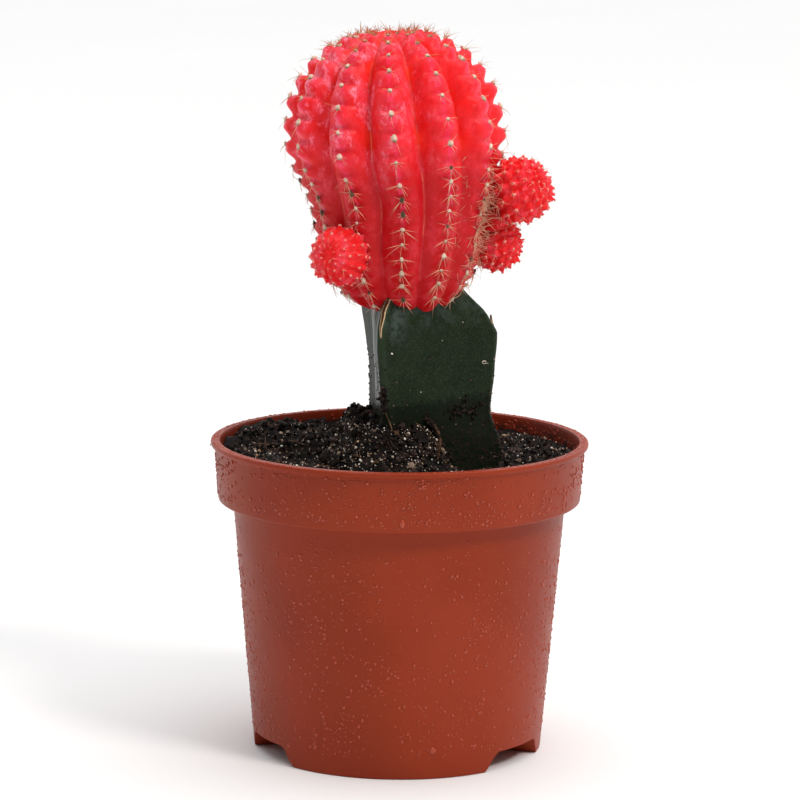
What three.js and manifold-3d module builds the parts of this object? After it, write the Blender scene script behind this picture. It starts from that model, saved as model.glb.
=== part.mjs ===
// A moon cactus in its nursery pot: a red Gymnocalycium head with three offsets, grafted on a
// green three-winged Hylocereus stem that stands in a soil-filled plastic pot.
// Millimetres, +Z up. The origin is on the pot's axis, in the plane that the feet stand on,
// and the side of the plant with two of the stem's edges faces -Y.
import * as THREE from "three";
import { mergeVertices } from "three/addons/utils/BufferGeometryUtils.js";
import Module from "manifold-3d";

const wasm = await Module();
wasm.setup();

const GAP = 0.3; // clearance between two pieces that touch
const UP = new THREE.Vector3(0, 0, 1);

// ---- driving dimensions -------------------------------------------------------------------

const POT = {
  height: 70,
  rimRadius: 42.5,
  lipHeight: 1.1,
  bandTopRadius: 41.5, // just under the lip
  bandBottomRadius: 40.6,
  bandBottom: 56.6,
  bodyTopRadius: 37.3,
  baseRadius: 32.4,
  wall: 1.2,
  chamfer: 0.5, // along the outer edges
  innerStep: [0.7, 1.6], // heights over the band's bottom where the step inside starts and ends
  floorUnderside: 3.9,
  footInnerRadius: 25.5,
  footCount: 3,
  channelHeight: 4.3, // of the drain channels between the feet
  channelCentre: -154, // degrees from +X, of the first channel
  channelWidthBelow: 38, // degrees
  channelWidthAbove: 27,
  drainRadius: 2.6,
  drainCircle: 28.2,
  sides: 56,
};

const SOIL = {
  level: 65.6,
  moundHeight: 9.5, // round the stem
  moundCentre: [-2, 0],
  moundHalfWidths: [11, 18],
  moundEdge: [0.85, 1.4], // where its slope starts and ends, in half widths
  wallRise: 1.2, // all round, close to the wall
  wallRiseFrom: 28,
  wallRiseTo: 40,
  backRise: 3, // against the wall at the back left
  backRiseCentre: [-31, 20],
  backRiseSpread: 12,
  dip: 2.6, // beside the stem's right wing
  dipCentre: [21, -7],
  dipSpread: 8,
  lump: 0.4,
  lumpWaves: [[0.83, 0.31, 1.3], [-0.37, 0.71, 0.4], [0.37, -0.55, 2.1]], // radians per mm, and phase
  rings: 13,
  sides: 48,
};

const STOCK = {
  levels: [107, 105, 103, 100.5, 98, 95.5, 93, 88, 82, 76, 73, 70, 67, 63, 58, 50, 42, 38],
  axisAtMiddle: 3.3, // x of its axis at the middle height
  middle: 87,
  lean: -0.05, // x per mm of height
  faceRadius: 9.3, // from the axis to the middle of a flat face
  fullness: 0.48, // the most of a face's radius, as a share of its two wings' radii together
  tipRound: 1.7, // half the thickness of a wing close to its edge
  tipDepth: 1.9, // how far in from the edge it has that thickness
  tipFlat: 0.35, // half the width of the edge itself, as a share of tipRound
  ease: 0.4, // how far the wings' edges are rounded between their listed points
  steps: 30,
};

// The three wings: direction in degrees from +X, and [height, radius] down the edge.
const WINGS = [
  {
    angle: -114,
    edge: [[107, 8.6], [103.4, 12.8], [101, 15.5], [97, 17.6], [92, 18.1], [84, 17.6], [74, 16.2],
      [60, 15.5], [38, 10.5]],
  },
  {
    angle: 6,
    edge: [[107, 9.6], [104.5, 11], [97.6, 16.8], [94, 18.5], [86, 17.7], [76, 16.3], [68, 18.8],
      [60, 18.6], [38, 10.5]],
  },
  {
    angle: 126,
    edge: [[107, 9.6], [104.8, 11.5], [99, 19.2], [94, 18], [86, 17], [76, 17.4], [60, 16], [38, 10.5]],
  },
];

// A ribbed head: its outline [radius, height] from the crown's centre down to its base, and the
// distances from one areole to the next down a rib.
const HEAD = {
  outline: [[0, 62.6], [9, 62], [17.6, 57.2], [22.7, 49.7], [24.5, 41.3], [24.1, 36.3],
    [21.2, 27.3], [19.6, 19.8], [18, 12.4], [15, 6.4], [11.5, 3.2], [0, 2.2]],
  ribs: 12,
  areoleSteps: [4, 4.4, 4.6, 4.8, 5, 5.2, 5.4, 5.4, 5.4, 3.4, 3.4, 3.4, 3.4, 3.4, 3.4, 3.4, 3.4, 3.4],
  ribShift: [3.6, 0.3, 2.4, 0, 3.1, 1.2, 2.7, 0.8, 3.3, 0.3, 0, 1.9], // of each rib's areoles
  furrow: 0.26, // depth of the furrows, as a share of the radius, in the upper half
  lowFurrow: 0.13,
  tubercle: 1.5,
  lowTubercle: 0.6,
  change: 44, // distance down the rib where the upper half's form gives way to the lower's
  columnsPerRib: 4,
  spineLength: 3.8,
  spines: 3,
  lowSpines: 1,
  sag: 4.2, // of the base on the side that faces the sagAngle
  sagAngle: -77,
  bow: 1.1, // sideways, towards +X, of the stretch round the bowHeight
  bowHeight: 26,
  bowSpread: 9,
};

// The offsets: the same form, small, with close pointed tubercles.
const OFFSET = {
  outline: [[0, 12.4], [3.2, 11.8], [5.8, 9.3], [6.7, 6.2], [5.9, 3.2], [3.6, 0.9], [0, 0]],
  ribs: 10,
  areoleSteps: [1.6, 2.2, 2.3, 2.4, 2.4, 2.4, 2.4],
  ribShift: [0, 1.1],
  furrow: 0.2,
  lowFurrow: 0.15,
  tubercle: 1.3,
  lowTubercle: 0.9,
  change: 10,
  columnsPerRib: 2,
  spineLength: 2.2,
  spines: 1,
  lowSpines: 0,
  sag: 0,
  sagAngle: 0,
  bow: 0,
  bowHeight: 0,
  bowSpread: 1,
};

// What the head and the offsets share. Places along a rib are shares of its length.
const RELIEF = {
  ridgePower: 0.85, // under 1, the ribs are broad and the furrows sharp
  crownFade: 0.06, // the ribs start to rise over this stretch
  baseFade: 0.93, // and fade from here on
  changeBlend: 8, // half the distance over which the upper form turns into the lower
  sagStart: 0.8,
  sagEnd: 0.96,
  valley: 0.55, // how far from one areole to the next the low point lies
};

const SPINE = {
  radius: 0.24,
  sunk: 0.7,
  rootShare: 0.2, // how far its root stands from the areole towards each corner beside it
  rise: 0.75, // away from the surface, against 1 along it
  droop: [0.6, 1.4], // least and greatest
  lengths: [0.8, 1.15],
};

const SCION = {
  base: [0.8, 0, 98.8],
  lean: -3.8, // degrees, the crown towards -X
  stalkRadius: 4.6, // of the short stalk that an offset sits on
  stalkSides: 10,
};

// Where each offset sits: its centre, the way its crown faces, and its size.
const OFFSETS = [
  { centre: [-13.3, -17.4, 113.4], facing: [-0.43, -0.89, 0.14], scale: 1.02 },
  { centre: [26, -2, 126.4], facing: [0.64, -0.58, 0.5], scale: 1.2 },
  { centre: [21, 2.5, 113.9], facing: [0.85, 0.1, 0.3], scale: 1 },
];

const FINISH = {
  pot: { color: 0x9a3f2c, roughness: 0.38, metalness: 0 },
  soil: { color: 0x1e1816, roughness: 0.95, metalness: 0 },
  rootstock: { color: 0x24392a, roughness: 0.45, metalness: 0 },
  scion: { color: 0xd8202e, roughness: 0.4, metalness: 0 },
};

// ---- helpers ------------------------------------------------------------------------------

const radians = THREE.MathUtils.degToRad;
const smoothstep = THREE.MathUtils.smoothstep;
const lerp = THREE.MathUtils.lerp;

// A repeatable random draw between 0 and 1.
function seeded(seed) {
  let state = seed;
  return () => {
    state = (state * 1664525 + 1013904223) % 4294967296;
    return state / 4294967296;
  };
}

// A geometry, which is one closed surface, as a solid that can be joined and cut.
function solidOf(geometry) {
  const bare = geometry.index ? geometry.toNonIndexed() : geometry.clone();
  bare.deleteAttribute("normal");
  bare.deleteAttribute("uv");
  const merged = mergeVertices(bare, 1e-4);
  const corners = merged.index.array;
  const kept = [];
  for (let i = 0; i < corners.length; i += 3) {
    const [a, b, c] = [corners[i], corners[i + 1], corners[i + 2]];
    if (a !== b && b !== c && c !== a) kept.push(a, b, c);
  }
  return new wasm.Manifold(new wasm.Mesh({
    numProp: 3,
    vertProperties: new Float32Array(merged.attributes.position.array),
    triVerts: new Uint32Array(kept),
  }));
}

// The largest body of a solid, as a named mesh.
function meshOf(solid, name) {
  const bodies = solid.decompose();
  const largest = bodies.reduce((a, b) => (a.volume() > b.volume() ? a : b));
  const { vertProperties, triVerts } = largest.getMesh();
  const geometry = new THREE.BufferGeometry();
  geometry.setAttribute("position", new THREE.BufferAttribute(vertProperties, 3));
  geometry.setIndex(new THREE.BufferAttribute(triVerts, 1));
  geometry.computeVertexNormals();
  const mesh = new THREE.Mesh(geometry, new THREE.MeshStandardMaterial(FINISH[name]));
  mesh.name = name;
  return mesh;
}

// A closed surface of rings between two poles. at(row, column) gives a ring's points, which run
// anticlockwise seen from the first pole, and the poles are the first and last rows' only points.
function ringedSurface(rows, columns, first, at, last) {
  const positions = [first.x, first.y, first.z];
  for (let row = 0; row < rows; row++)
    for (let column = 0; column < columns; column++) positions.push(...at(row, column).toArray());
  positions.push(last.x, last.y, last.z);
  const corner = (row, column) => 1 + row * columns + (column % columns);
  const lastCorner = 1 + rows * columns;
  const index = [];
  for (let column = 0; column < columns; column++) {
    index.push(0, corner(0, column), corner(0, column + 1));
    index.push(lastCorner, corner(rows - 1, column + 1), corner(rows - 1, column));
    for (let row = 0; row + 1 < rows; row++) {
      const [a, b] = [corner(row, column), corner(row, column + 1)];
      const [c, d] = [corner(row + 1, column), corner(row + 1, column + 1)];
      index.push(a, c, b, b, c, d);
    }
  }
  const geometry = new THREE.BufferGeometry();
  geometry.setAttribute("position", new THREE.Float32BufferAttribute(positions, 3));
  geometry.setIndex(index);
  return geometry;
}

// A profile of [radius, height] points, from axis to axis going up, turned round the Z axis.
function turned(profile, sides) {
  const points = profile.map(([radius, height]) => new THREE.Vector2(radius, height));
  return solidOf(new THREE.LatheGeometry(points, sides).rotateX(Math.PI / 2));
}

// A block bent round the Z axis, whose ends may lean: its half angle changes from low to high.
function arcBlock(radii, heights, centre, halfAngles, steps = 10) {
  const corners = [[0, 0], [1, 0], [1, 1], [0, 1]];
  const positions = [];
  for (let step = 0; step <= steps; step++)
    for (const [outer, upper] of corners) {
      const angle = radians(centre + lerp(-1, 1, step / steps) * halfAngles[upper]);
      positions.push(radii[outer] * Math.cos(angle), radii[outer] * Math.sin(angle), heights[upper]);
    }
  const index = [0, 1, 2, 0, 2, 3];
  const end = steps * 4;
  index.push(end, end + 2, end + 1, end, end + 3, end + 2);
  for (let step = 0; step < steps; step++)
    for (let side = 0; side < 4; side++) {
      const [a, b] = [step * 4 + side, step * 4 + ((side + 1) % 4)];
      index.push(a, a + 4, b, b, a + 4, b + 4);
    }
  const geometry = new THREE.BufferGeometry();
  geometry.setAttribute("position", new THREE.Float32BufferAttribute(positions, 3));
  geometry.setIndex(index);
  return solidOf(geometry);
}

// ---- pot ----------------------------------------------------------------------------------

const PAST = 1; // a cutter runs this far past what it cuts
const footPitch = 360 / POT.footCount;
const channelCentres = Array.from({ length: POT.footCount }, (_, i) => POT.channelCentre + i * footPitch);
const floorTop = POT.floorUnderside + POT.wall;
const bodyRadiusAt = (height) => lerp(POT.baseRadius, POT.bodyTopRadius, height / POT.bandBottom);
const channelHalfAt = (height) =>
  lerp(POT.channelWidthBelow, POT.channelWidthAbove, height / POT.channelHeight) / 2;

// The space inside the pot and its hollow feet, drawn in by a gap and open at the top.
function cavity(gap) {
  const inset = POT.wall + gap;
  const floor = floorTop + gap;
  const [stepStart, stepEnd] = POT.innerStep.map((rise) => POT.bandBottom + rise);
  const main = turned([
    [0, floor],
    [bodyRadiusAt(floor) - inset, floor],
    [POT.bodyTopRadius - inset, stepStart],
    [POT.bandBottomRadius - inset, stepEnd + gap],
    [POT.bandTopRadius - inset, POT.height + PAST],
    [0, POT.height + PAST],
  ], POT.sides);
  const endWall = THREE.MathUtils.radToDeg(inset / POT.drainCircle);
  const heights = [inset, floor + PAST];
  const hollowFeet = channelCentres.map((centre) => arcBlock(
    [POT.footInnerRadius + inset, bodyRadiusAt(POT.wall) - inset],
    heights,
    centre + footPitch / 2,
    heights.map((height) => footPitch / 2 - channelHalfAt(height) - endWall),
    14,
  ));
  return hollowFeet.reduce((space, foot) => space.add(foot), main);
}

function potMesh() {
  const lipBottom = POT.height - POT.lipHeight;
  const outside = turned([
    [0, POT.floorUnderside],
    [POT.footInnerRadius, POT.floorUnderside],
    [POT.footInnerRadius, 0],
    [POT.baseRadius - POT.chamfer, 0],
    [POT.baseRadius, POT.chamfer],
    [POT.bodyTopRadius, POT.bandBottom],
    [POT.bandBottomRadius - POT.chamfer, POT.bandBottom],
    [POT.bandBottomRadius, POT.bandBottom + POT.chamfer],
    [POT.bandTopRadius, lipBottom - POT.chamfer],
    [POT.rimRadius, lipBottom],
    [POT.rimRadius, POT.height - POT.chamfer],
    [POT.rimRadius - POT.chamfer, POT.height],
    [0, POT.height],
  ], POT.sides);
  let pot = outside.subtract(cavity(0));
  const heights = [-PAST, POT.channelHeight];
  for (const centre of channelCentres) {
    const channel = arcBlock(
      [POT.footInnerRadius - PAST, POT.rimRadius], heights, centre, heights.map(channelHalfAt), 10);
    const drain = new THREE.CylinderGeometry(
      POT.drainRadius, POT.drainRadius, 2 * (POT.wall + PAST), 16)
      .rotateX(Math.PI / 2)
      .translate(POT.drainCircle, 0, floorTop)
      .rotateZ(radians(centre));
    pot = pot.subtract(channel).subtract(solidOf(drain));
  }
  return meshOf(pot, "pot");
}

// ---- rootstock ----------------------------------------------------------------------------

// The radius of a wing's edge at a height, eased between its listed points.
function wingRadius(wing, height) {
  const below = wing.edge.findIndex(([z]) => z <= height);
  const i = below < 0 ? wing.edge.length - 1 : Math.max(below, 1);
  const [[highZ, highR], [lowZ, lowR]] = [wing.edge[i - 1], wing.edge[i]];
  const share = THREE.MathUtils.clamp((highZ - height) / (highZ - lowZ), 0, 1);
  return lerp(highR, lowR, lerp(share, smoothstep(share, 0, 1), STOCK.ease));
}

const stockAxisAt = (height) => STOCK.axisAtMiddle + STOCK.lean * (height - STOCK.middle);

// The stem's outline at a height, grown outwards: rounded wing edges joined by nearly flat faces.
function stockOutline(height, grown) {
  const points = [];
  const place = (angle, out, side) => points.push(new THREE.Vector3(
    stockAxisAt(height) + out * Math.cos(angle) - side * Math.sin(angle),
    out * Math.sin(angle) + side * Math.cos(angle),
    height,
  ));
  const half = STOCK.tipRound + grown;
  const turn = 360 / WINGS.length;
  WINGS.forEach((wing, i) => {
    const angle = radians(wing.angle);
    const radius = wingRadius(wing, height);
    const tip = radius + grown;
    place(angle, tip - STOCK.tipDepth, -half);
    place(angle, tip, -half * STOCK.tipFlat);
    place(angle, tip, half * STOCK.tipFlat);
    place(angle, tip - STOCK.tipDepth, half);
    const together = radius + wingRadius(WINGS[(i + 1) % WINGS.length], height);
    const face = Math.min(STOCK.faceRadius, together * STOCK.fullness) + grown;
    place(radians(wing.angle + turn / 2), face, 0);
  });
  return new THREE.CatmullRomCurve3(points, true, "centripetal");
}

function stockSolid(grown = 0) {
  const levels = STOCK.levels.map((height, i) => {
    if (i === 0) return height + grown;
    return i === STOCK.levels.length - 1 ? height - grown : height;
  });
  const outlines = levels.map((height) => stockOutline(height, grown));
  const poles = [levels[0], levels[levels.length - 1]].map((height) =>
    new THREE.Vector3(stockAxisAt(height), 0, height));
  const at = (row, column) => outlines[row].getPoint(column / STOCK.steps);
  return solidOf(ringedSurface(outlines.length, STOCK.steps, poles[0], at, poles[1]));
}

// ---- soil ---------------------------------------------------------------------------------

function soilHeight(x, y) {
  const bell = ([cx, cy], spread) => Math.exp(-((x - cx) ** 2 + (y - cy) ** 2) / (2 * spread ** 2));
  const [mx, my] = SOIL.moundCentre;
  const [ax, ay] = SOIL.moundHalfWidths;
  const fromMound = Math.hypot((x - mx) / ax, (y - my) / ay);
  const lumps = SOIL.lumpWaves.reduce(
    (sum, [fx, fy, phase]) => sum + Math.sin(fx * x + fy * y + phase), 0);
  return SOIL.level
    + SOIL.moundHeight * (1 - smoothstep(fromMound, ...SOIL.moundEdge))
    + SOIL.wallRise * smoothstep(Math.hypot(x, y), SOIL.wallRiseFrom, SOIL.wallRiseTo)
    + SOIL.backRise * bell(SOIL.backRiseCentre, SOIL.backRiseSpread)
    - SOIL.dip * bell(SOIL.dipCentre, SOIL.dipSpread)
    + SOIL.lump * lumps;
}

function soilMesh() {
  const reach = POT.rimRadius;
  const at = (row, column) => {
    const angle = (column / SOIL.sides) * 2 * Math.PI;
    const underside = row === SOIL.rings;
    const radius = underside ? reach : (reach * (row + 1)) / SOIL.rings;
    const [x, y] = [radius * Math.cos(angle), radius * Math.sin(angle)];
    return new THREE.Vector3(x, y, underside ? 0 : soilHeight(x, y));
  };
  const top = new THREE.Vector3(0, 0, soilHeight(0, 0));
  const below = solidOf(ringedSurface(SOIL.rings + 1, SOIL.sides, top, at, new THREE.Vector3()));
  return meshOf(cavity(GAP).intersect(below).subtract(stockSolid(GAP)), "soil");
}

// ---- scion --------------------------------------------------------------------------------

// A head's form: the point at an angle round it, counted in ribs, and a distance down from the
// crown. The bump is 1 at an areole and 0 between two.
function headForm(spec) {
  const curve = new THREE.CatmullRomCurve3(
    spec.outline.map(([radius, height]) => new THREE.Vector3(radius, 0, height)), false, "centripetal");
  const length = curve.getLength();
  // The areoles' distances from the crown down each rib.
  const stations = Array.from({ length: spec.ribs }, (_, rib) => {
    let distance = spec.ribShift[rib % spec.ribShift.length];
    return spec.areoleSteps.map((step) => (distance += step)).filter((d) => d < length - 1);
  });
  const count = Math.min(...stations.map((list) => list.length));

  function point(ribAngle, distance, bump) {
    const t = THREE.MathUtils.clamp(distance / length, 0, 1);
    const centre = curve.getPointAt(t);
    const tangent = curve.getTangentAt(t);
    const low = smoothstep(distance, spec.change - RELIEF.changeBlend, spec.change + RELIEF.changeBlend);
    const ridge = Math.abs(Math.cos(Math.PI * ribAngle)) ** RELIEF.ridgePower;
    const furrow = lerp(spec.furrow, spec.lowFurrow, low) * centre.x * (1 - ridge);
    const valley = lerp(spec.tubercle, spec.lowTubercle, low) * (1 - bump) * ridge;
    const fade = smoothstep(t, 0, RELIEF.crownFade) * (1 - smoothstep(t, RELIEF.baseFade, 1));
    const inward = (furrow + valley) * fade;
    const radius = centre.x + inward * tangent.z;
    const angle = -Math.PI / 2 + (ribAngle / spec.ribs) * 2 * Math.PI;
    const sag = spec.sag * smoothstep(t, RELIEF.sagStart, RELIEF.sagEnd)
      * Math.max(0, Math.cos(angle - radians(spec.sagAngle)));
    const height = centre.z - inward * tangent.x - sag;
    const bow = spec.bow * Math.exp(-(((height - spec.bowHeight) / spec.bowSpread) ** 2));
    return new THREE.Vector3(radius * Math.cos(angle) + bow, radius * Math.sin(angle), height);
  }
  return { spec, length, stations, count, point };
}

// The rings of a head's fleshy body: one through the areoles, and one between each two.
function headRings({ spec, length, stations, count, point }) {
  const distanceOn = (rib, row) => {
    const list = stations[rib % spec.ribs];
    if (row === 0) return list[0] / 2;
    if (row === 2 * count) return (list[count - 1] + length) / 2;
    const before = list[Math.ceil(row / 2) - 1];
    return row % 2 ? before : lerp(before, list[row / 2], RELIEF.valley);
  };
  return (row, column) => {
    const ribAngle = column / spec.columnsPerRib;
    const rib = Math.floor(ribAngle);
    const distance = lerp(distanceOn(rib, row), distanceOn(rib + 1, row), ribAngle - rib);
    return point(ribAngle, distance, row % 2);
  };
}

// A straight three-sided spine, its root sunk under the surface.
function spine(root, direction, length) {
  const geometry = new THREE.ConeGeometry(SPINE.radius, length + SPINE.sunk, 3)
    .translate(0, (length - SPINE.sunk) / 2, 0)
    .applyQuaternion(new THREE.Quaternion().setFromUnitVectors(new THREE.Vector3(0, 1, 0), direction))
    .translate(root.x, root.y, root.z);
  return solidOf(geometry);
}

// Where an areole's spines stand: the corners of the face beside it, as steps of row and
// column, and how far each spine leans to the side and down.
const SPINE_PLACES = [
  { corners: [[0, -1], [1, -1]], side: -0.9, down: 0.25 },
  { corners: [[1, 0], [0, 1]], side: 0.9, down: 0.25 },
  { corners: [[1, -1], [1, 0]], side: 0, down: 0.9 },
];

// A head as a list of solids: its body, and the spines of every areole. Each spine stands in a
// face next to its areole, so that no two roots meet.
function headPieces(form, random) {
  const { spec, count } = form;
  const columns = spec.ribs * spec.columnsPerRib;
  const ring = headRings(form);
  const crown = new THREE.Vector3(0, 0, spec.outline[0][1] - spec.tubercle / 2);
  const pieces = [solidOf(ringedSurface(2 * count + 1, columns, crown, ring, new THREE.Vector3()))];
  for (let rib = 0; rib < spec.ribs; rib++)
    for (let k = 0; k < count; k++) {
      const [row, column] = [2 * k + 1, rib * spec.columnsPerRib + columns];
      const areole = ring(row, column);
      const down = ring(row + 1, column).sub(ring(row - 1, column)).normalize();
      const side = ring(row, column + 1).sub(ring(row, column - 1)).normalize();
      const outward = down.clone().cross(side).normalize();
      const total = form.stations[rib][k] < spec.change ? spec.spines : spec.lowSpines;
      for (let i = 0; i < total; i++) {
        const place = SPINE_PLACES[total === 1 ? (k + rib) % 2 : i];
        const root = areole.clone();
        for (const [r, c] of place.corners)
          root.addScaledVector(ring(row + r, column + c).sub(areole), SPINE.rootShare);
        const direction = outward.clone().multiplyScalar(SPINE.rise)
          .addScaledVector(side, place.side)
          .addScaledVector(down, place.down * lerp(...SPINE.droop, random()))
          .normalize();
        pieces.push(spine(root, direction, spec.spineLength * lerp(...SPINE.lengths, random())));
      }
    }
  return pieces;
}

// The stalk of an offset, from inside the offset to inside the head.
function stalk(from, to) {
  const along = to.clone().sub(from);
  const geometry = new THREE.CylinderGeometry(
    SCION.stalkRadius, SCION.stalkRadius, along.length(), SCION.stalkSides)
    .translate(0, along.length() / 2, 0)
    .applyQuaternion(new THREE.Quaternion().setFromUnitVectors(
      new THREE.Vector3(0, 1, 0), along.clone().normalize()))
    .translate(from.x, from.y, from.z);
  return solidOf(geometry);
}

function scionMesh() {
  const random = seeded(7);
  const base = new THREE.Vector3(...SCION.base);
  const lean = new THREE.Matrix4().makeRotationY(radians(SCION.lean)).setPosition(base);
  const pieces = headPieces(headForm(HEAD), random).map((piece) => piece.transform(lean.toArray()));

  const offset = headForm(OFFSET);
  for (const { centre, facing, scale } of OFFSETS) {
    const middle = new THREE.Vector3(...centre);
    const towards = new THREE.Vector3(...facing).normalize();
    const foot = middle.clone().addScaledVector(towards, (-OFFSET.outline[0][1] / 2) * scale);
    const turn = new THREE.Quaternion().setFromUnitVectors(UP, towards);
    const placed = new THREE.Matrix4().compose(foot, turn, new THREE.Vector3(scale, scale, scale));
    for (const piece of headPieces(offset, random)) pieces.push(piece.transform(placed.toArray()));
    const inside = new THREE.Vector3(base.x, base.y, middle.z).lerp(middle, 0.5);
    pieces.push(stalk(inside, middle));
  }
  return meshOf(wasm.Manifold.union(pieces).subtract(stockSolid(GAP)), "scion");
}

// ---- the whole plant ----------------------------------------------------------------------

const plant = new THREE.Group();
plant.add(potMesh(), soilMesh(), meshOf(stockSolid(), "rootstock"), scionMesh());

export default plant;
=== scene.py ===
"""The looks of a moon cactus in its nursery pot, built round the packed solids.

Shapes are worked out in millimetres and turned to metres where a mesh is made. The pot, the soil, the
stem and the head follow the same named sizes as the solids that they stand for, with finer detail.
A shape is a pair (points, faces), or has a third item with named numbers for each point.
"""
import itertools
import math
from types import SimpleNamespace as Sizes

import bmesh
import bpy
import numpy as np
from mathutils import Matrix, Vector


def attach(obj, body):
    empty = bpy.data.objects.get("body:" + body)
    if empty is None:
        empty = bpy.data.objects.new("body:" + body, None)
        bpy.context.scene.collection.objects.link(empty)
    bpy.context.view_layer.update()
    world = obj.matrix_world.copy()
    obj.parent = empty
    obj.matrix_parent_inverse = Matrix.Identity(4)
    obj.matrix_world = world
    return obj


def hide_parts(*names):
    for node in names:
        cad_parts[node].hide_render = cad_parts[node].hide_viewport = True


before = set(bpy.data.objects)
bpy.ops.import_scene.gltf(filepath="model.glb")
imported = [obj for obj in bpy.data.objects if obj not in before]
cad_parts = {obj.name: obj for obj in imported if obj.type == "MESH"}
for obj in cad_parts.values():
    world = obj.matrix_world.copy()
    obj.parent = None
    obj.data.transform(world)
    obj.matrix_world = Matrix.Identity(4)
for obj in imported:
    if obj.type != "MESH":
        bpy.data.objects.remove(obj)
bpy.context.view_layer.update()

MM = 0.001

# ---- sizes, in millimetres and degrees --------------------------------------------------------

POT = Sizes(
    height=70, rim=42.3, lip=1.1, lip_width=1.7, lip_slope=0.4, band_top=41.5, band_bottom=40.6,
    band_base=56.6, band_height=12.4, body_top=37.3, base=32.4, wall=1.2, floor=3.9,
    inner_step=(0.7, 1.6), inner_band=((39.4, 58.2), (40.3, 71)), mouth=(40.2, 40.8),
    foot_inner=25.5, feet=3, foot_round=1.3, foot_end=2.44,
    channel_height=4.3, channel_centre=-154, channel_below=38, channel_above=27,
    drain=2.6, drain_circle=28.2, drain_cut=(2, 7),
)
# Each drip on the pot: its x, height, half width and half length.
DRIPS = ((0.7, 58.8, 0.55, 1.0), (7.8, 6.5, 0.75, 0.8))
# The swells are the rise at the back wall and the dip at the right: height, centre and spread.
SOIL = Sizes(
    level=65.6, mound=9.5, mound_centre=(-2, 0), mound_half=(11, 18), mound_edge=(0.85, 1.4),
    wall_rise=1.2, wall_range=(28, 40), swells=((3, (-31, 20), 12), (-2.6, (21, -7), 8)), lump=0.4,
    waves=((0.83, 0.31, 1.3), (-0.37, 0.71, 0.4), (0.37, -0.55, 2.1)), radius=38, gap=0.08, foot_gap=0.3,
)
STEM = Sizes(
    bottom=38, top=107, axis=3.3, middle=87, lean=-0.05, face=9.3, fullness=0.48,
    tip_round=1.7, tip_depth=1.9, tip_flat=0.35, ease=0.4,
)
# Each wing's direction, and its (height, reach) from the bottom up.
WINGS = (
    (-114, ((38, 10.5), (60, 15.5), (74, 16.2), (84, 17.6), (92, 18.1), (97, 17.6), (101, 15.5),
            (103.4, 12.8), (107, 8.6))),
    (6, ((38, 10.5), (60, 18.6), (68, 18.8), (76, 16.3), (86, 17.7), (94, 18.5), (97.6, 16.8),
         (104.5, 11), (107, 9.6))),
    (126, ((38, 10.5), (60, 16), (76, 17.4), (86, 17), (94, 18), (99, 19.2), (104.8, 11.5), (107, 9.6))),
)
HEAD = Sizes(
    outline=((0, 62.6), (9, 62), (17.6, 57.2), (22.7, 49.7), (24.5, 41.3), (24.1, 36.3), (21.2, 27.3),
             (19.6, 19.8), (18, 12.4), (15, 6.4), (11.5, 3.2), (0, 2.2)),
    ribs=12, steps=(4, 4.4, 4.6, 4.8, 5, 5.2, 5.4, 5.4, 5.4) + (3.4,) * 9,
    shift=(3.6, 0.3, 2.4, 0, 3.1, 1.2, 2.7, 0.8, 3.3, 0.3, 0, 1.9),
    furrow=0.26, low_furrow=0.13, tubercle=1.9, low_tubercle=0.8, change=44, sag=4.2, sag_angle=-77,
    bow=1.1, bow_height=26, bow_spread=9, columns=20, rows=6, rough=0.24, hump=0.3, notch=0.8,
    wobble=0.02, crest_power=5, pointed=0,
)
OFFSET = Sizes(
    outline=((0, 12.4), (3.2, 11.8), (5.8, 9.3), (6.7, 6.2), (5.9, 3.2), (3.6, 0.9), (0, 0)),
    ribs=16, steps=(1.6, 2.3, 2.3, 2.3, 2.3, 2.3, 2.3), shift=(0, 1.15),
    furrow=0.05, low_furrow=0.05, tubercle=1.2, low_tubercle=1.05, change=10, sag=0, sag_angle=0,
    bow=0, bow_height=0, bow_spread=1, columns=8, rows=5, rough=0.25, hump=0.1, notch=0.55,
    wobble=0.17, crest_power=1, pointed=1,
)
RELIEF = Sizes(
    ridge_power=0.85, crown_fade=0.06, base_fade=0.93, blend=8, sag_start=0.8, sag_end=0.96,
    areole=0.82, furrow_round=0.006,
)
SCION_BASE = (0.8, 0, 98.8)
SCION_LEAN = -3.8
STALK = 4.6
SPINY = (17, -6, 122)  # where the spines are thickest, between the head and the two right offsets
TALLEST = 163.6  # no spine reaches higher
# Name, centre, the way the crown faces, scale, and how far its tubercles stand up.
OFFSETS = (
    ("offset_left", (-13.3, -17.4, 113.4), (-0.43, -0.89, 0.14), 1.02, 0.28),
    ("offset_upper", (26, -2, 126.4), (0.64, -0.58, 0.5), 1.2, 0.8),
    ("offset_lower", (21, 2.5, 113.9), (0.85, 0.1, 0.3), 1.0, 1),
    ("offset_bud", (20.2, -2.5, 120.2), (0.55, -0.8, 0.1), 0.49, 0.6),
)


# ---- numbers ----------------------------------------------------------------------------------


def lerp(a, b, share):
    return a + (b - a) * share


def smoothstep(x, low, high):
    share = np.clip((np.asarray(x, float) - low) / (high - low), 0, 1)
    return share * share * (3 - 2 * share)


def bell(x, y, middle, width):
    return np.exp(-((x - middle[0]) ** 2 + (y - middle[1]) ** 2) / width)


def skewed(random, low, high, count, power):
    """Random sizes between low and high, more of them small."""
    return low * (high / low) ** random.uniform(0, 1, count) ** power


def by_three(size, second, third):
    """Sizes along three axes from one size, and the ratios of the others to it."""
    return np.stack([size, size * second, size * third], -1)


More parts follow.
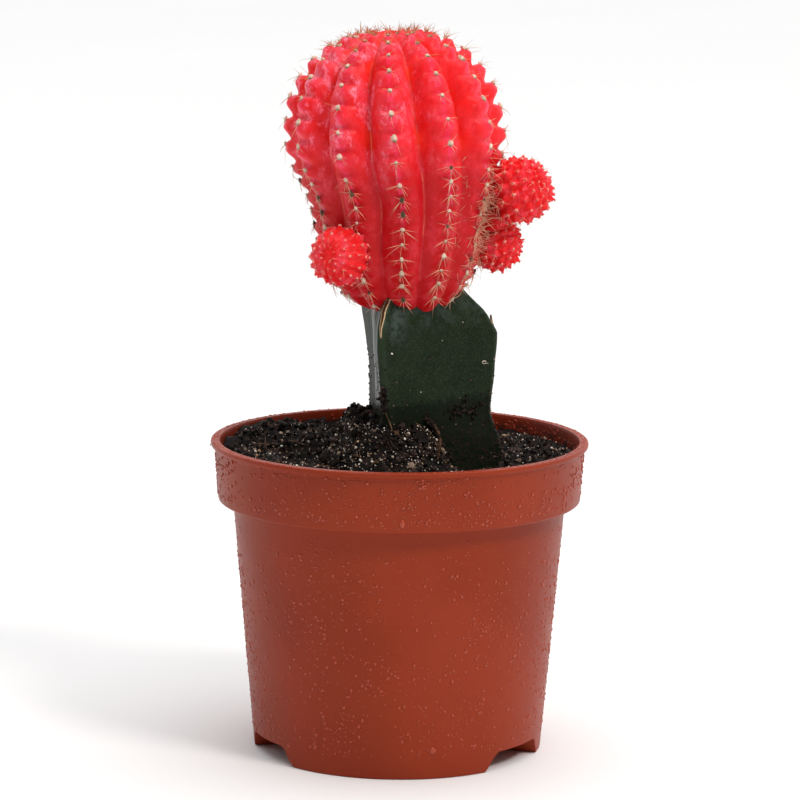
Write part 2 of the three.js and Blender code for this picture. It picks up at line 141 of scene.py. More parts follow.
def noise(points, size, seed=0):
    """Smooth random values from -1 to 1 at points, with features of about the given size."""
    at = np.asarray(points, float) / size + seed * 17.31
    cell = np.floor(at).astype(np.int64)
    share = at - cell
    share = share * share * (3 - 2 * share)
    total = np.zeros(at.shape[:-1])
    for corner in itertools.product((0, 1), repeat=3):
        x, y, z = np.moveaxis(cell + corner, -1, 0)
        mixed = (x * 73856093) ^ (y * 19349663) ^ (z * 83492791)
        mixed = (mixed ^ (mixed >> 13)) * 1274126177
        value = ((mixed ^ (mixed >> 16)) & 0xFFFF) / 32767.5 - 1
        total += value * np.prod(np.where(np.array(corner) == 1, share, 1 - share), axis=-1)
    return total


def fractal(points, size, seed=0, octaves=3):
    """Noise with finer and weaker noise on it."""
    return sum(noise(points, size / 2 ** i, seed + i) / 2 ** i for i in range(octaves))


def smooth_curve(points, closed=False, steps=24):
    """A centripetal Catmull-Rom curve through points, as a dense line of points."""
    p = np.asarray(points, float)
    ends = (p[-1:], p[:2]) if closed else (2 * p[:1] - p[1:2], 2 * p[-1:] - p[-2:-1])
    ring = np.vstack([ends[0], p, ends[1]])
    t = np.linspace(0, 1, steps, endpoint=False)[:, None]
    line = []
    for p0, p1, p2, p3 in zip(ring, ring[1:], ring[2:], ring[3:]):
        d0, d1, d2 = (max(np.linalg.norm(b - a) ** 0.5, 1e-4) for a, b in ((p0, p1), (p1, p2), (p2, p3)))
        start = ((p1 - p0) / d0 - (p2 - p0) / (d0 + d1) + (p2 - p1) / d1) * d1
        end = ((p2 - p1) / d1 - (p3 - p1) / (d1 + d2) + (p3 - p2) / d2) * d1
        line.append((2 * t**3 - 3 * t**2 + 1) * p1 + (t**3 - 2 * t**2 + t) * start
                    + (3 * t**2 - 2 * t**3) * p2 + (t**3 - t**2) * end)
    if not closed:
        line.append(p[-1:])
    return np.vstack(line)


def unit(vectors):
    return vectors / np.maximum(np.linalg.norm(vectors, axis=-1, keepdims=True), 1e-9)


def turns(count):
    """Angles all round, in radians."""
    return np.arange(count) / count * 2 * math.pi


def ring_of(radius, height, angle):
    """Points at a radius and height, at angles in radians round the Z axis."""
    radius, height, angle = np.broadcast_arrays(radius, height, angle)
    return np.stack([radius * np.cos(angle), radius * np.sin(angle), height], -1)


# ---- meshes -----------------------------------------------------------------------------------


def linked(name, data):
    thing = bpy.data.objects.new(name, data)
    bpy.context.scene.collection.objects.link(thing)
    return thing


def bare_object(points, faces, name="cutter"):
    mesh = bpy.data.meshes.new(name)
    mesh.from_pydata((np.asarray(points) * MM).tolist(), [], faces)
    return linked(name, mesh)


def dress(thing, replaces=None):
    """Puts an object on the body, and hides the node that it stands for."""
    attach(thing, "root")
    if replaces:
        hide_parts(replaces)


def piece(name, shape, material, replaces=None, smooth=True):
    """Makes an object of a shape, with its material, puts it on the body and hides the node that it stands
    for.
    """
    points, faces, *values = shape
    thing = bare_object(points, faces, name)
    mesh = thing.data
    mesh.validate()
    mesh.polygons.foreach_set("use_smooth", [smooth] * len(mesh.polygons))
    for key, numbers in (values[0] if values else {}).items():
        layer = mesh.attributes.new(key, "FLOAT", "POINT")
        layer.data.foreach_set("value", np.asarray(numbers, np.float32).ravel())
    mesh.materials.append(material)
    dress(thing, replaces)


def grid_faces(rows, columns, first=0):
    """Faces of rings of points, each ring closed, whose rows run away from the side seen."""
    row, column = np.meshgrid(np.arange(rows - 1), np.arange(columns), indexing="ij")
    after = (column + 1) % columns
    corners = [row * columns + column, (row + 1) * columns + column,
               (row + 1) * columns + after, row * columns + after]
    return (np.stack(corners, -1).reshape(-1, 4) + first).tolist()


def closed_rings(first, rings, last):
    """A closed surface: a pole, rings round it, and another pole."""
    rows, columns = rings.shape[:2]
    points = np.vstack([[first], rings.reshape(-1, 3), [last]])
    end = len(points) - 1
    faces = grid_faces(rows, columns, 1)
    for column in range(columns):
        after = (column + 1) % columns
        faces.append([0, 1 + column, 1 + after])
        faces.append([end, end - columns + after, end - columns + column])
    return points, faces


def ball(fineness):
    """A round ball of radius 1 made of triangles."""
    shape = bmesh.new()
    bmesh.ops.create_icosphere(shape, subdivisions=fineness, radius=1)
    shape.verts.ensure_lookup_table()
    points = np.array([v.co for v in shape.verts])
    faces = np.array([[v.index for v in face.verts] for face in shape.faces])
    shape.free()
    return points, faces


def scattered(shape, centres, frames, sizes, random, rough=0.0):
    """Copies of a shape, each on its own three axes with its own three sizes, and its points moved."""
    points, faces = shape
    count = len(centres)
    local = points[None] * (1 + rough * random.uniform(-1, 1, (count, len(points), 1)))
    local = local * np.asarray(sizes)[:, None, :]
    stood = np.einsum("nki,nij->nkj", local, frames) + np.asarray(centres)[:, None, :]
    shifted = faces[None] + (np.arange(count) * len(points))[:, None, None]
    return stood.reshape(-1, 3), shifted.reshape(-1, 3).tolist()


def frames_on(normals, random):
    """Three axes for each normal, the last along it, turned at random about it."""
    normals = unit(np.asarray(normals, float))
    first = unit(np.cross(normals, random.normal(size=normals.shape)))
    return np.stack([first, np.cross(normals, first), normals], 1)


def frames_down(normals, down):
    """Three axes for each normal, the last along it and the second downwards."""
    normals = unit(normals)
    side = unit(np.cross(normals, down))
    return np.stack([side, np.cross(normals, side), normals], 1)


def needles(roots, directions, bends, lengths, radii, rings=5, sides=4, blunt=0.12):
    """Curved tapering spines, with how far along its spine each point lies."""
    count = len(roots)
    along = np.linspace(0, 1, rings)
    reach = along[None, :, None] * np.asarray(lengths)[:, None, None]
    line = (roots[:, None] + directions[:, None] * reach
            + bends[:, None] * reach * along[None, :, None])
    side = unit(np.cross(directions, bends + 1e-3 * np.array([0.3, 0.5, 0.8])))
    other = np.cross(directions, side)
    turn = turns(sides)[None, None, :, None]
    around = side[:, None, None] * np.cos(turn) + other[:, None, None] * np.sin(turn)
    thick = np.asarray(radii)[:, None] * lerp(1, blunt, along ** 1.3)[None]
    points = (line[:, :, None] + around * thick[:, :, None, None]).reshape(-1, 3)
    total = rings * sides
    one = [*grid_faces(rings, sides), range(sides), range(total - 1, total - sides - 1, -1)]
    faces = [[i + k * total for i in face[::-1]] for k in range(count) for face in one]
    share = np.broadcast_to(along[None, :, None], (count, rings, sides)).ravel()
    return points, faces, {"along": share}


def strip(line, normal, width, thickness, sides=12, steps=10):
    """A rough flat strip along a line of points, tapering at both ends, facing along a normal."""
    line = smooth_curve(line, steps=steps)
    along = unit(np.gradient(line, axis=0))
    side = unit(np.cross(along, normal))
    up = np.cross(side, along)
    taper = np.sin(math.pi * np.linspace(0.04, 0.96, len(line))) ** 0.4
    turn = turns(sides)[None, :, None]
    spread = side[:, None] * np.cos(turn) * width + up[:, None] * np.sin(turn) * thickness
    rings = line[:, None] + spread * taper[:, None, None]
    rings = rings + spread * 0.35 * fractal(rings, 0.9, 91)[..., None]
    return closed_rings(line[0], rings, line[-1])


def joined(*shapes):
    """Several (points, faces) as one."""
    faces, start = [], 0
    for points, own_faces in shapes:
        faces += [[i + start for i in face] for face in own_faces]
        start += len(points)
    return np.vstack([points for points, _ in shapes]), faces


# ---- materials --------------------------------------------------------------------------------


class Shader:
    """A material built node by node. A value is a number, a colour or another node's socket."""

    def __init__(self, name, **uniform):
        self.material = bpy.data.materials.new(name)
        self.material.use_nodes = True
        self.tree = self.material.node_tree
        self.position = self.node("TexCoord").outputs["Object"]
        self.finish(**uniform)

    def feed(self, socket, value):
        if isinstance(value, bpy.types.NodeSocket):
            self.tree.links.new(value, socket)
        elif isinstance(value, tuple) and len(value) == 3 and socket.type == "RGBA":
            socket.default_value = (*value, 1)
        else:
            socket.default_value = value

    def node(self, kind, inputs=None, **settings):
        made = self.tree.nodes.new("ShaderNode" + kind)
        for key, value in settings.items():
            setattr(made, key, value)
        for key, value in (inputs or {}).items():
            self.feed(made.inputs[key], value)
        return made

    def stretched(self, z):
        """The position with its height scaled, for streaks."""
        return self.node("Mapping", {"Vector": self.position, "Scale": (1, 1, z)}).outputs[0]

    def noise(self, size, detail=3, rough=0.55, where=None):
        made = self.node("TexNoise", {"Vector": where or self.position, "Scale": 1 / (size * MM),
                                      "Detail": detail, "Roughness": rough})
        return made.outputs["Fac"]

    def cells(self, size):
        made = self.node("TexVoronoi", {"Vector": self.position, "Scale": 1 / (size * MM)})
        return made.outputs["Distance"]

    def value(self, name):
        return self.node("Attribute", attribute_name=name).outputs["Fac"]

    def along(self, axis):
        return self.node("SeparateXYZ", {"Vector": self.position}).outputs[axis]

    def step(self, value, low, high):
        """0 below low, 1 above high, smooth between; low may be the greater."""
        flip = low > high
        low, high = min(low, high), max(low, high)
        made = self.node("MapRange", {"Value": value, "From Min": low, "From Max": high,
                                      "To Min": 1.0 * flip, "To Max": 1.0 - flip},
                         interpolation_type="SMOOTHSTEP")
        return made.outputs[0]

    def math(self, operation, a, b=0.0):
        return self.node("Math", {0: a, 1: b}, operation=operation, use_clamp=False).outputs[0]

    def times(self, a, b):
        return self.math("MULTIPLY", a, b)

    def plus(self, a, b):
        return self.math("ADD", a, b)

    def mix(self, share, a, b):
        return self.node("Mix", {0: share, 6: a, 7: b}, data_type="RGBA").outputs[2]

    def over(self, tone, colour, mask, strength):
        """A tone with a colour laid over it where a mask is, at most by a strength."""
        return self.mix(self.times(mask, strength), tone, colour)

    def blend(self, share, a, b):
        """A number between a and b."""
        return self.node("Mix", {0: share, 2: a, 3: b}, data_type="FLOAT").outputs[0]

    def range(self, value, low, high):
        return self.node("MapRange", {"Value": value, "To Min": low, "To Max": high}).outputs[0]

    def bump(self, height, depth, strength=1.0, after=None):
        inputs = {"Height": height, "Distance": depth * MM, "Strength": strength}
        if after:
            inputs["Normal"] = after
        return self.node("Bump", inputs).outputs[0]

    def finish(self, **inputs):
        surface = self.tree.nodes["Principled BSDF"]
        for key, value in inputs.items():
            self.feed(surface.inputs[key.replace("_", " ")], value)
        return self.material


def pot_material():
    s = Shader("pot_plastic", Specular_IOR_Level=0.16)
    grain = s.noise(0.9, 4, 0.65)
    tone = s.mix(s.step(s.noise(28, 2, 0.5), 0.35, 0.65), (0.255, 0.028, 0.0068), (0.295, 0.034, 0.0090))
    tone = s.over(tone, (0.38, 0.070, 0.040), s.step(grain, 0.55, 0.8), 0.2)
    streaks = s.noise(3.2, 3, 0.6, s.stretched(0.12))
    tone = s.over(tone, (0.24, 0.030, 0.014), s.step(streaks, 0.52, 0.75), 0.12)
    # Dark patches on the wall inside the rim: soil stuck to the wall, with painted shade added on the
    # left.
    flat = s.node("VectorMath", {0: s.position, 1: (1, 1, 0)}, operation="MULTIPLY").outputs[0]
    away = s.node("VectorMath", {0: flat}, operation="LENGTH").outputs["Value"]
    within = s.times(s.step(away, 0.04055, 0.0404), s.step(s.along("Z"), 0.0695, 0.0665))
    within = s.times(within, s.step(s.along("Z"), 0.0572, 0.0580))
    # The left weight adds painted shade on the left of the inner wall.
    left = s.times(s.step(s.along("X"), 0.012, -0.018), 0.22)
    soil_and_painted_shade = s.times(within, s.step(s.plus(s.noise(3.5, 5, 0.65), left), 0.44, 0.56))
    tone = s.over(tone, (0.022, 0.011, 0.008), soil_and_painted_shade, 0.88)
    normal = s.bump(s.noise(5, 2), 0.12, 0.3, s.bump(grain, 0.03, 0.5))
    return s.finish(Base_Color=tone, Roughness=s.range(s.noise(2.2, 3), 0.34, 0.48), Normal=normal)


def drop_material():
    s = Shader("pot_drops_water", Specular_IOR_Level=0.4)
    # The drops are a lighter red than the pot's wall: a painted highlight for the light caught in the
    # water.
    tone = s.mix(s.noise(1.5, 1), (0.31, 0.039, 0.015), (0.43, 0.062, 0.026))
    return s.finish(Base_Color=tone, Roughness=s.range(s.noise(3, 1), 0.16, 0.26))


def soil_material(name, dark, brown, pale):
    s = Shader(name, Specular_IOR_Level=0.12)
    tone = s.mix(s.step(s.noise(0.8, 4, 0.7), 0.4, 0.7), dark, brown)
    tone = s.over(tone, (0.082, 0.050, 0.042), s.step(s.value("shade"), 0.3, 0.7), 0.62)
    # The palest crumbs are partly pale soil grains and partly painted glints.
    tone = s.mix(s.step(s.value("shade"), 0.78, 0.98), tone, pale)
    normal = s.bump(s.cells(0.55), 0.3, 0.7, s.bump(s.noise(0.35, 4, 0.7), 0.25, 0.9))
    return s.finish(Base_Color=tone, Roughness=s.range(s.noise(1.1, 3), 0.35, 0.95), Normal=normal)


def perlite_material():
    s = Shader("soil_grit_white", Specular_IOR_Level=0.4)
    tone = s.mix(s.step(s.value("shade"), 0.3, 0.9), (0.84, 0.78, 0.70), (0.42, 0.26, 0.15))
    tone = s.mix(s.step(s.noise(0.4, 3), 0.5, 0.75), tone, (0.30, 0.21, 0.14))
    return s.finish(Base_Color=tone, Roughness=0.8, Normal=s.bump(s.noise(0.25, 3), 0.12, 0.8))


def fibre_material():
    s = Shader("soil_fibres", Specular_IOR_Level=0.3)
    tone = s.mix(s.step(s.noise(3, 2), 0.35, 0.65), (0.045, 0.022, 0.012), (0.22, 0.12, 0.06))
    return s.finish(Base_Color=tone, Roughness=0.75, Normal=s.bump(s.noise(0.3, 3), 0.1, 0.8))


def bark_material():
    s = Shader("soil_bark", Specular_IOR_Level=0.2)
    tone = s.mix(s.step(s.noise(1.1, 3), 0.4, 0.62), (0.018, 0.009, 0.006), (0.10, 0.048, 0.022))
    tone = s.mix(s.step(s.noise(0.5, 3, 0.7), 0.55, 0.75), tone, (0.26, 0.15, 0.07))
    grain = s.noise(0.5, 4, 0.7, s.stretched(0.3))
    return s.finish(Base_Color=tone, Roughness=0.85, Normal=s.bump(grain, 0.2, 0.9))


def stem_material():
    """Stippled green skin, wet near the soil, with a painted bluish reflection near the top, a painted
    highlight along the wing edges, and a corky strip on the front wing.
    """
    s = Shader("stem_skin", Specular_IOR_Level=0.085)
    skin = s.mix(s.step(s.noise(7, 3), 0.35, 0.7), (0.0075, 0.0155, 0.0055), (0.013, 0.025, 0.0095))
    stipple = s.cells(0.5)
    skin = s.over(skin, (0.036, 0.052, 0.028), s.step(s.noise(0.42, 3, 0.8), 0.50, 0.68), 0.7)
    skin = s.over(skin, (0.004, 0.008, 0.003), s.step(s.noise(0.6, 2, 0.8), 0.44, 0.32), 0.6)
    skin = s.over(skin, (0.075, 0.10, 0.060), s.step(stipple, 0.25, 0.05), 0.5)
    # Lighter green along the wing edges: a painted highlight.
    skin = s.over(skin, (0.035, 0.055, 0.030), s.value("edge"), 0.5)
    side = s.value("side")
    wavy = s.plus(s.along("Z"), s.times(s.noise(2.2, 5, 0.75), 0.006))
    skin = s.over(skin, (0.003, 0.0062, 0.002), s.step(wavy, 0.0839, 0.0822), 0.75)
    # A lighter bluish patch near the top and beside the front wing: a painted reflection.
    top = s.times(s.step(wavy, 0.0975, 0.103), s.step(s.noise(2.2, 5, 0.7), 0.46, 0.62))
    beside = s.times(s.step(side, 1.2, 1.8), s.step(side, 4.4, 2.6))
    reflection_patch = s.times(s.step(wavy, 0.0955, 0.1005), s.step(s.noise(1.6, 4), 0.36, 0.55))
    painted_reflection = s.math("MAXIMUM", s.times(top, 0.5), s.times(beside, reflection_patch))
    skin = s.mix(painted_reflection, skin, (0.045, 0.064, 0.054))
    wide = s.blend(s.step(s.along("Z"), 0.0950, 0.1015), 0.12, 0.42)
    middle = s.math("SUBTRACT", side, 0.1)
    cork = s.step(s.math("SUBTRACT", s.math("ABSOLUTE", middle), wide), 0.16, 0.0)
    cork = s.times(cork, s.step(s.along("Z"), 0.0950, 0.0958))
    pale = s.plus(s.math("SUBTRACT", middle, wide), s.times(s.noise(0.7, 3), 0.3))
    rim = s.plus(s.plus(middle, wide), s.times(s.noise(0.6, 3), 0.25))
    tan = s.math("MAXIMUM", s.step(pale, -0.02, 0.06), s.times(s.step(rim, 0.26, 0.14), 0.6))
    skin = s.mix(cork, skin, s.mix(tan, (0.055, 0.026, 0.013), (0.62, 0.45, 0.26)))
    low = s.step(s.along("Z"), 0.092, 0.066)
    dust = s.step(s.plus(s.noise(0.9, 4, 0.75), s.times(low, 0.16)), 0.64, 0.72)
    dust = s.times(dust, low)
    skin = s.mix(dust, skin, (0.020, 0.013, 0.010))
    normal = s.bump(stipple, 0.06, 0.6, s.bump(s.noise(0.5, 4, 0.7), 0.08, 0.7))
    normal = s.bump(s.noise(2.6, 3), 0.25, 0.4, normal)
    streaks = s.step(s.noise(2.4, 3, 0.6, s.stretched(0.05)), 0.35, 0.65)
    streaks = s.plus(streaks, s.times(s.step(side, -8, -11), 2.0))
    streaks = s.blend(s.step(side, 0.3, -0.3), s.noise(1.6, 3), streaks)
    rough = s.blend(dust, s.blend(streaks, 0.26, 0.54), 0.9)
    return s.finish(Base_Color=skin, Roughness=rough, Normal=normal)


def flesh_material(name, pink):
    """Red flesh with more or less pink in it: deeper lower down, with a painted glow and painted shade in
    the furrows, painted shade in the notches, and a pink haze at the top that is partly bloom and partly
    painted highlight.
    """
    s = Shader(name, Subsurface_Weight=0.55, Subsurface_Radius=(1.0, 0.2, 0.15),
               Subsurface_Scale=3.0 * MM, Specular_IOR_Level=0.15, Coat_Weight=0.07, Coat_Roughness=0.2)
    ridge, low, bump = s.value("ridge"), s.value("low"), s.value("bump")
    left = s.step(s.along("X"), 0.012, -0.012)
    red = s.mix(s.step(s.noise(5, 3), 0.35, 0.65), (0.80, 0.011, 0.013), (0.88, 0.017, 0.020))
    red = s.mix(low, red, (0.56, 0.005, 0.009))
    streaks = s.step(s.noise(2.2, 4, 0.65, s.stretched(0.45)), 0.46, 0.64)
    red = s.over(red, (0.60, 0.006, 0.010), streaks, 0.35)
    blush = s.step(s.noise(2.8, 5, 0.72, s.stretched(0.6)), 0.47, 0.62)
    red = s.over(red, (0.93, 0.085, 0.135), blush, pink)
    # In the furrows, the orange is a painted glow of light through the flesh and the deeper red is painted
    # shade in the crease.
    furrow = s.times(s.step(ridge, 0.6, 0.1), s.step(low, 0.6, 0.0))
    deep = s.mix(s.step(s.noise(7, 3), 0.42, 0.58), (0.90, 0.040, 0.010), (0.76, 0.014, 0.007))
    red = s.over(red, deep, furrow, 0.8)
    crest = s.times(s.step(ridge, 0.80, 0.99), s.step(low, 1.0, 0.2))
    red = s.over(red, (0.92, 0.035, 0.075), crest, 0.4)
    seam = s.times(s.step(ridge, 0.17, 0.12), s.step(s.noise(9, 3), 0.45, 0.65))
    red = s.over(red, (0.95, 0.22, 0.13), seam, 0.5)
    keel = s.times(s.step(ridge, 0.975, 0.995), s.step(s.noise(1.3, 4, 0.7), 0.40, 0.56))
    keel = s.times(keel, s.step(s.along("Z"), 0.114, 0.128))
    red = s.over(red, (0.97, 0.055, 0.165), keel, 0.6)
    # A pink haze high on the head, stronger on the left: partly pale bloom on the skin and partly a
    # painted highlight.
    haze_and_highlight = s.times(s.step(s.noise(6.5, 4, 0.65), 0.42, 0.60), s.step(s.along("Z"), 0.122, 0.145))
    haze_and_highlight = s.times(haze_and_highlight, s.blend(left, 0.12, 1.0))
    red = s.over(red, (0.90, 0.075, 0.13), haze_and_highlight, 0.5)
    # Pink-white flecks within the haze: painted highlights.
    fine = s.step(s.noise(1.5, 5, 0.8, s.stretched(0.5)), 0.50, 0.58)
    red = s.over(red, (0.98, 0.27, 0.38), s.times(haze_and_highlight, fine), 0.8)
    pores = s.times(haze_and_highlight, s.step(s.noise(0.8, 3, 0.7), 0.40, 0.30))
    red = s.over(red, (0.50, 0.008, 0.020), pores, 0.5)
    # Pale pink flecks all over: partly scuffs and partly painted glints.
    scuff_and_glint = s.step(s.noise(1.3, 5, 0.78, s.stretched(0.45)), 0.62, 0.70)
    red = s.over(red, (0.93, 0.16, 0.20), scuff_and_glint, 0.22)
    red = s.over(red, (0.42, 0.004, 0.006), s.step(s.cells(1.1), 0.17, 0.08), 0.3)
    # Darker in the notch above each areole: painted shade.
    red = s.over(red, (0.60, 0.008, 0.010), s.step(bump, 0.3, 0.0), 0.12)
    normal = s.bump(s.noise(1.3, 4, 0.65), 0.22, 0.55, s.bump(s.cells(0.5), 0.04, 0.5))
    return s.finish(Base_Color=red, Roughness=s.range(s.noise(1.2, 4), 0.30, 0.60), Normal=normal)


def felt_material():
    s = Shader("scion_felt", Sheen_Weight=0.4, Sheen_Roughness=0.5, Specular_IOR_Level=0.15)
    fresh = s.mix(s.value("age"), (0.95, 0.76, 0.60), (0.42, 0.29, 0.15))
    # The lower side of each pad is painted darker: painted shade.
    tone = s.mix(s.value("under"), fresh, (0.17, 0.09, 0.035))
    tone = s.mix(s.step(s.value("age"), 0.78, 0.92), tone, (0.060, 0.045, 0.016))
    tone = s.mix(s.step(s.noise(0.25, 3, 0.7), 0.48, 0.75), tone, (0.26, 0.13, 0.07))
    return s.finish(Base_Color=tone, Roughness=0.95, Normal=s.bump(s.noise(0.18, 3), 0.10, 1.0))


def offset_felt_material():
    s = Shader("scion_felt_young", Sheen_Weight=0.4, Sheen_Roughness=0.5, Specular_IOR_Level=0.15)
    fresh = s.mix(s.step(s.value("age"), 0.0, 0.4), (0.88, 0.06, 0.06), (0.93, 0.38, 0.30))
    # The lower side of each pad is painted darker: painted shade.
    tone = s.mix(s.value("under"), fresh, (0.45, 0.06, 0.04))
    return s.finish(Base_Color=tone, Roughness=0.9, Normal=s.bump(s.noise(0.18, 3), 0.08, 1.0))


def spine_material():
    """Tan spines, browner at the crown, with dark tips and pale roots."""
    s = Shader("scion_spines", Specular_IOR_Level=0.4)
    along = s.value("along")
    tone = s.mix(s.step(s.noise(2.5, 2), 0.35, 0.65), (0.66, 0.27, 0.18), (0.80, 0.50, 0.32))
    tone = s.mix(s.step(s.along("Z"), 0.138, 0.158), tone, (0.58, 0.21, 0.050))
    tone = s.mix(s.step(along, 0.55, 1.0), tone, (0.17, 0.075, 0.035))
    tone = s.mix(s.step(along, 0.22, 0.0), tone, (0.58, 0.42, 0.24))
    return s.finish(Base_Color=tone, Roughness=s.range(s.noise(1, 2), 0.35, 0.5))


# ---- pot --------------------------------------------------------------------------------------


def rounded(profile, radius, steps=4):
    """A line of (radius, height) points with its inner corners rounded, and long stretches split."""
    p = np.asarray(profile, float)
    line = [p[0]]
    for before, corner, after in zip(p, p[1:], p[2:]):
        reach = min(radius, 0.45 * np.linalg.norm(before - corner), 0.45 * np.linalg.norm(after - corner))
        start = corner + unit(before - corner) * reach
        end = corner + unit(after - corner) * reach
        for t in np.linspace(0, 1, steps):
            line.append((1 - t) ** 2 * start + 2 * t * (1 - t) * corner + t * t * end)
    line.append(p[-1])
    split = [line[0]]
    for a, b in zip(line, line[1:]):
        pieces = max(1, int(np.linalg.norm(b - a) / 4))
        split += [lerp(a, b, (i + 1) / pieces) for i in range(pieces)]
    return np.array(split)


def turned(profile, columns):
    """A solid of revolution from a profile that runs up from axis to axis."""
    profile = np.asarray(profile)[::-1]
    rings = ring_of(profile[1:-1, :1], profile[1:-1, 1:], turns(columns)[None])
    return closed_rings((0, 0, profile[0][1]), rings, (0, 0, profile[-1][1]))


def arc_block(radii, rows, centre, steps=40):
    """A block bent round the Z axis, from rows of (half angle, height) that run down."""
    rings = []
    for half, height in rows:
        turn = np.radians(centre + np.linspace(-half, half, steps + 1))
        rings.append(np.vstack([ring_of(radii[1], height, turn), ring_of(radii[0], height, turn[::-1])]))
    count = 2 * (steps + 1)
    last = (len(rings) - 1) * count
    faces = grid_faces(len(rings), count)
    for k in range(steps):
        cap = [k, k + 1, count - 2 - k, count - 1 - k]
        faces += [cap, [last + i for i in cap[::-1]]]
    return np.vstack(rings), faces


def body_radius(height):
    return lerp(POT.base, POT.body_top, height / POT.band_base)


def pot_wall(height):
    """The radius of the pot's outside at a height."""
    band = lerp(POT.band_bottom, POT.band_top, (height - POT.band_base) / POT.band_height)
    lip = POT.height - POT.lip - POT.lip_slope
    return np.where(height > lip, POT.rim, np.where(height > POT.band_base, band, body_radius(height)))


def inner_wall(height):
    """The radius of the space inside the pot at a height."""
    (lower, low), (upper, high) = POT.inner_band
    band = lerp(lower, upper, (height - low) / (high - low))
    start, end = (POT.band_base + rise for rise in POT.inner_step)
    return lerp(body_radius(height) - POT.wall, band, smoothstep(height, start, end))


def make_pot(material):
    past = 1  # a cutter runs this far past what it cuts
    lip_bottom = POT.height - POT.lip
    floor_top = POT.floor + POT.wall
    outside = rounded([
        (0, POT.floor), (POT.foot_inner, POT.floor), (POT.foot_inner, 0), (POT.base, 0),
        (POT.body_top, POT.band_base), (POT.band_bottom, POT.band_base),
        (POT.band_top - 0.1, lip_bottom - 0.35), (POT.rim, lip_bottom), (POT.rim, POT.height),
        (POT.rim - POT.lip_width, POT.height - 0.02), (0, POT.height),
    ], 0.5)
    start, end = (POT.band_base + rise for rise in POT.inner_step)
    inside = rounded([
        (0, floor_top), (body_radius(floor_top) - POT.wall, floor_top),
        (POT.body_top - POT.wall, start), (POT.band_bottom - POT.wall, end),
        (POT.mouth[0], POT.height - POT.lip_slope), (POT.mouth[1], POT.height + past),
        (0, POT.height + past),
    ], 0.4)
    pot = bare_object(*turned(outside, 360))
    cutters = [bare_object(*turned(inside, 360))]
    below, above, top = POT.channel_below / 2, POT.channel_above / 2, POT.channel_height
    degree = math.radians(1) * POT.base
    channel = rounded([(0, top), (above * degree, top), (below * degree, 0), (below * degree + 2, -0.1),
                       (below * degree + 2, -past)], POT.foot_round, 6)
    channel = channel[channel[:, 1] < top - 0.001] / (degree, 1)
    channel = np.vstack([[(above - POT.foot_round / degree, top)], channel])
    half = 180 / POT.feet - POT.foot_end
    foot = [(half - lerp(below, above, height / top), height) for height in (floor_top + past, POT.wall)]
    foot_radii = (POT.foot_inner + POT.wall, body_radius(POT.wall) - POT.wall)
    low, high = POT.drain_cut
    for i in range(POT.feet):
        centre = POT.channel_centre + i * 360 / POT.feet
        cutters.append(bare_object(*arc_block((POT.foot_inner - past, POT.rim), channel, centre)))
        cutters.append(bare_object(*arc_block(foot_radii, foot, centre + 180 / POT.feet)))
        drain, faces = turned([(0, low), (POT.drain, low), (POT.drain, high), (0, high)], 32)
        cutters.append(bare_object(drain + ring_of(POT.drain_circle, 0, math.radians(centre)), faces))
    for cutter in cutters:
        cut = pot.modifiers.new("cut", "BOOLEAN")
        cut.object = cutter
        cut.operation = "DIFFERENCE"
        cut.solver = "MANIFOLD"
    bpy.context.view_layer.update()
    shape = bpy.data.meshes.new_from_object(pot.evaluated_get(bpy.context.evaluated_depsgraph_get()))
    for thing in [pot, *cutters]:
        bpy.data.objects.remove(thing)
    shape.name = "pot_shell"
    shape.materials.clear()
    shape.materials.append(material)
    shape.polygons.foreach_set("use_smooth", [True] * len(shape.polygons))
    shape.set_sharp_from_angle(angle=math.radians(32))
    dress(linked("pot_shell", shape), "pot")


def dome(columns, rows):
    """A flattened bead of triangles with its base at height 0 and a point below it."""
    rise = (np.arange(rows)[::-1] / rows * math.pi / 2)[:, None]
    rings = ring_of(np.cos(rise), np.sin(rise), turns(columns))
    points, faces = closed_rings((0, 0, 1), rings, (0, 0, -0.3))
    split = [face[:3] for face in faces] + [[face[0], *face[2:]] for face in faces if len(face) == 4]
    return points, np.array(split)


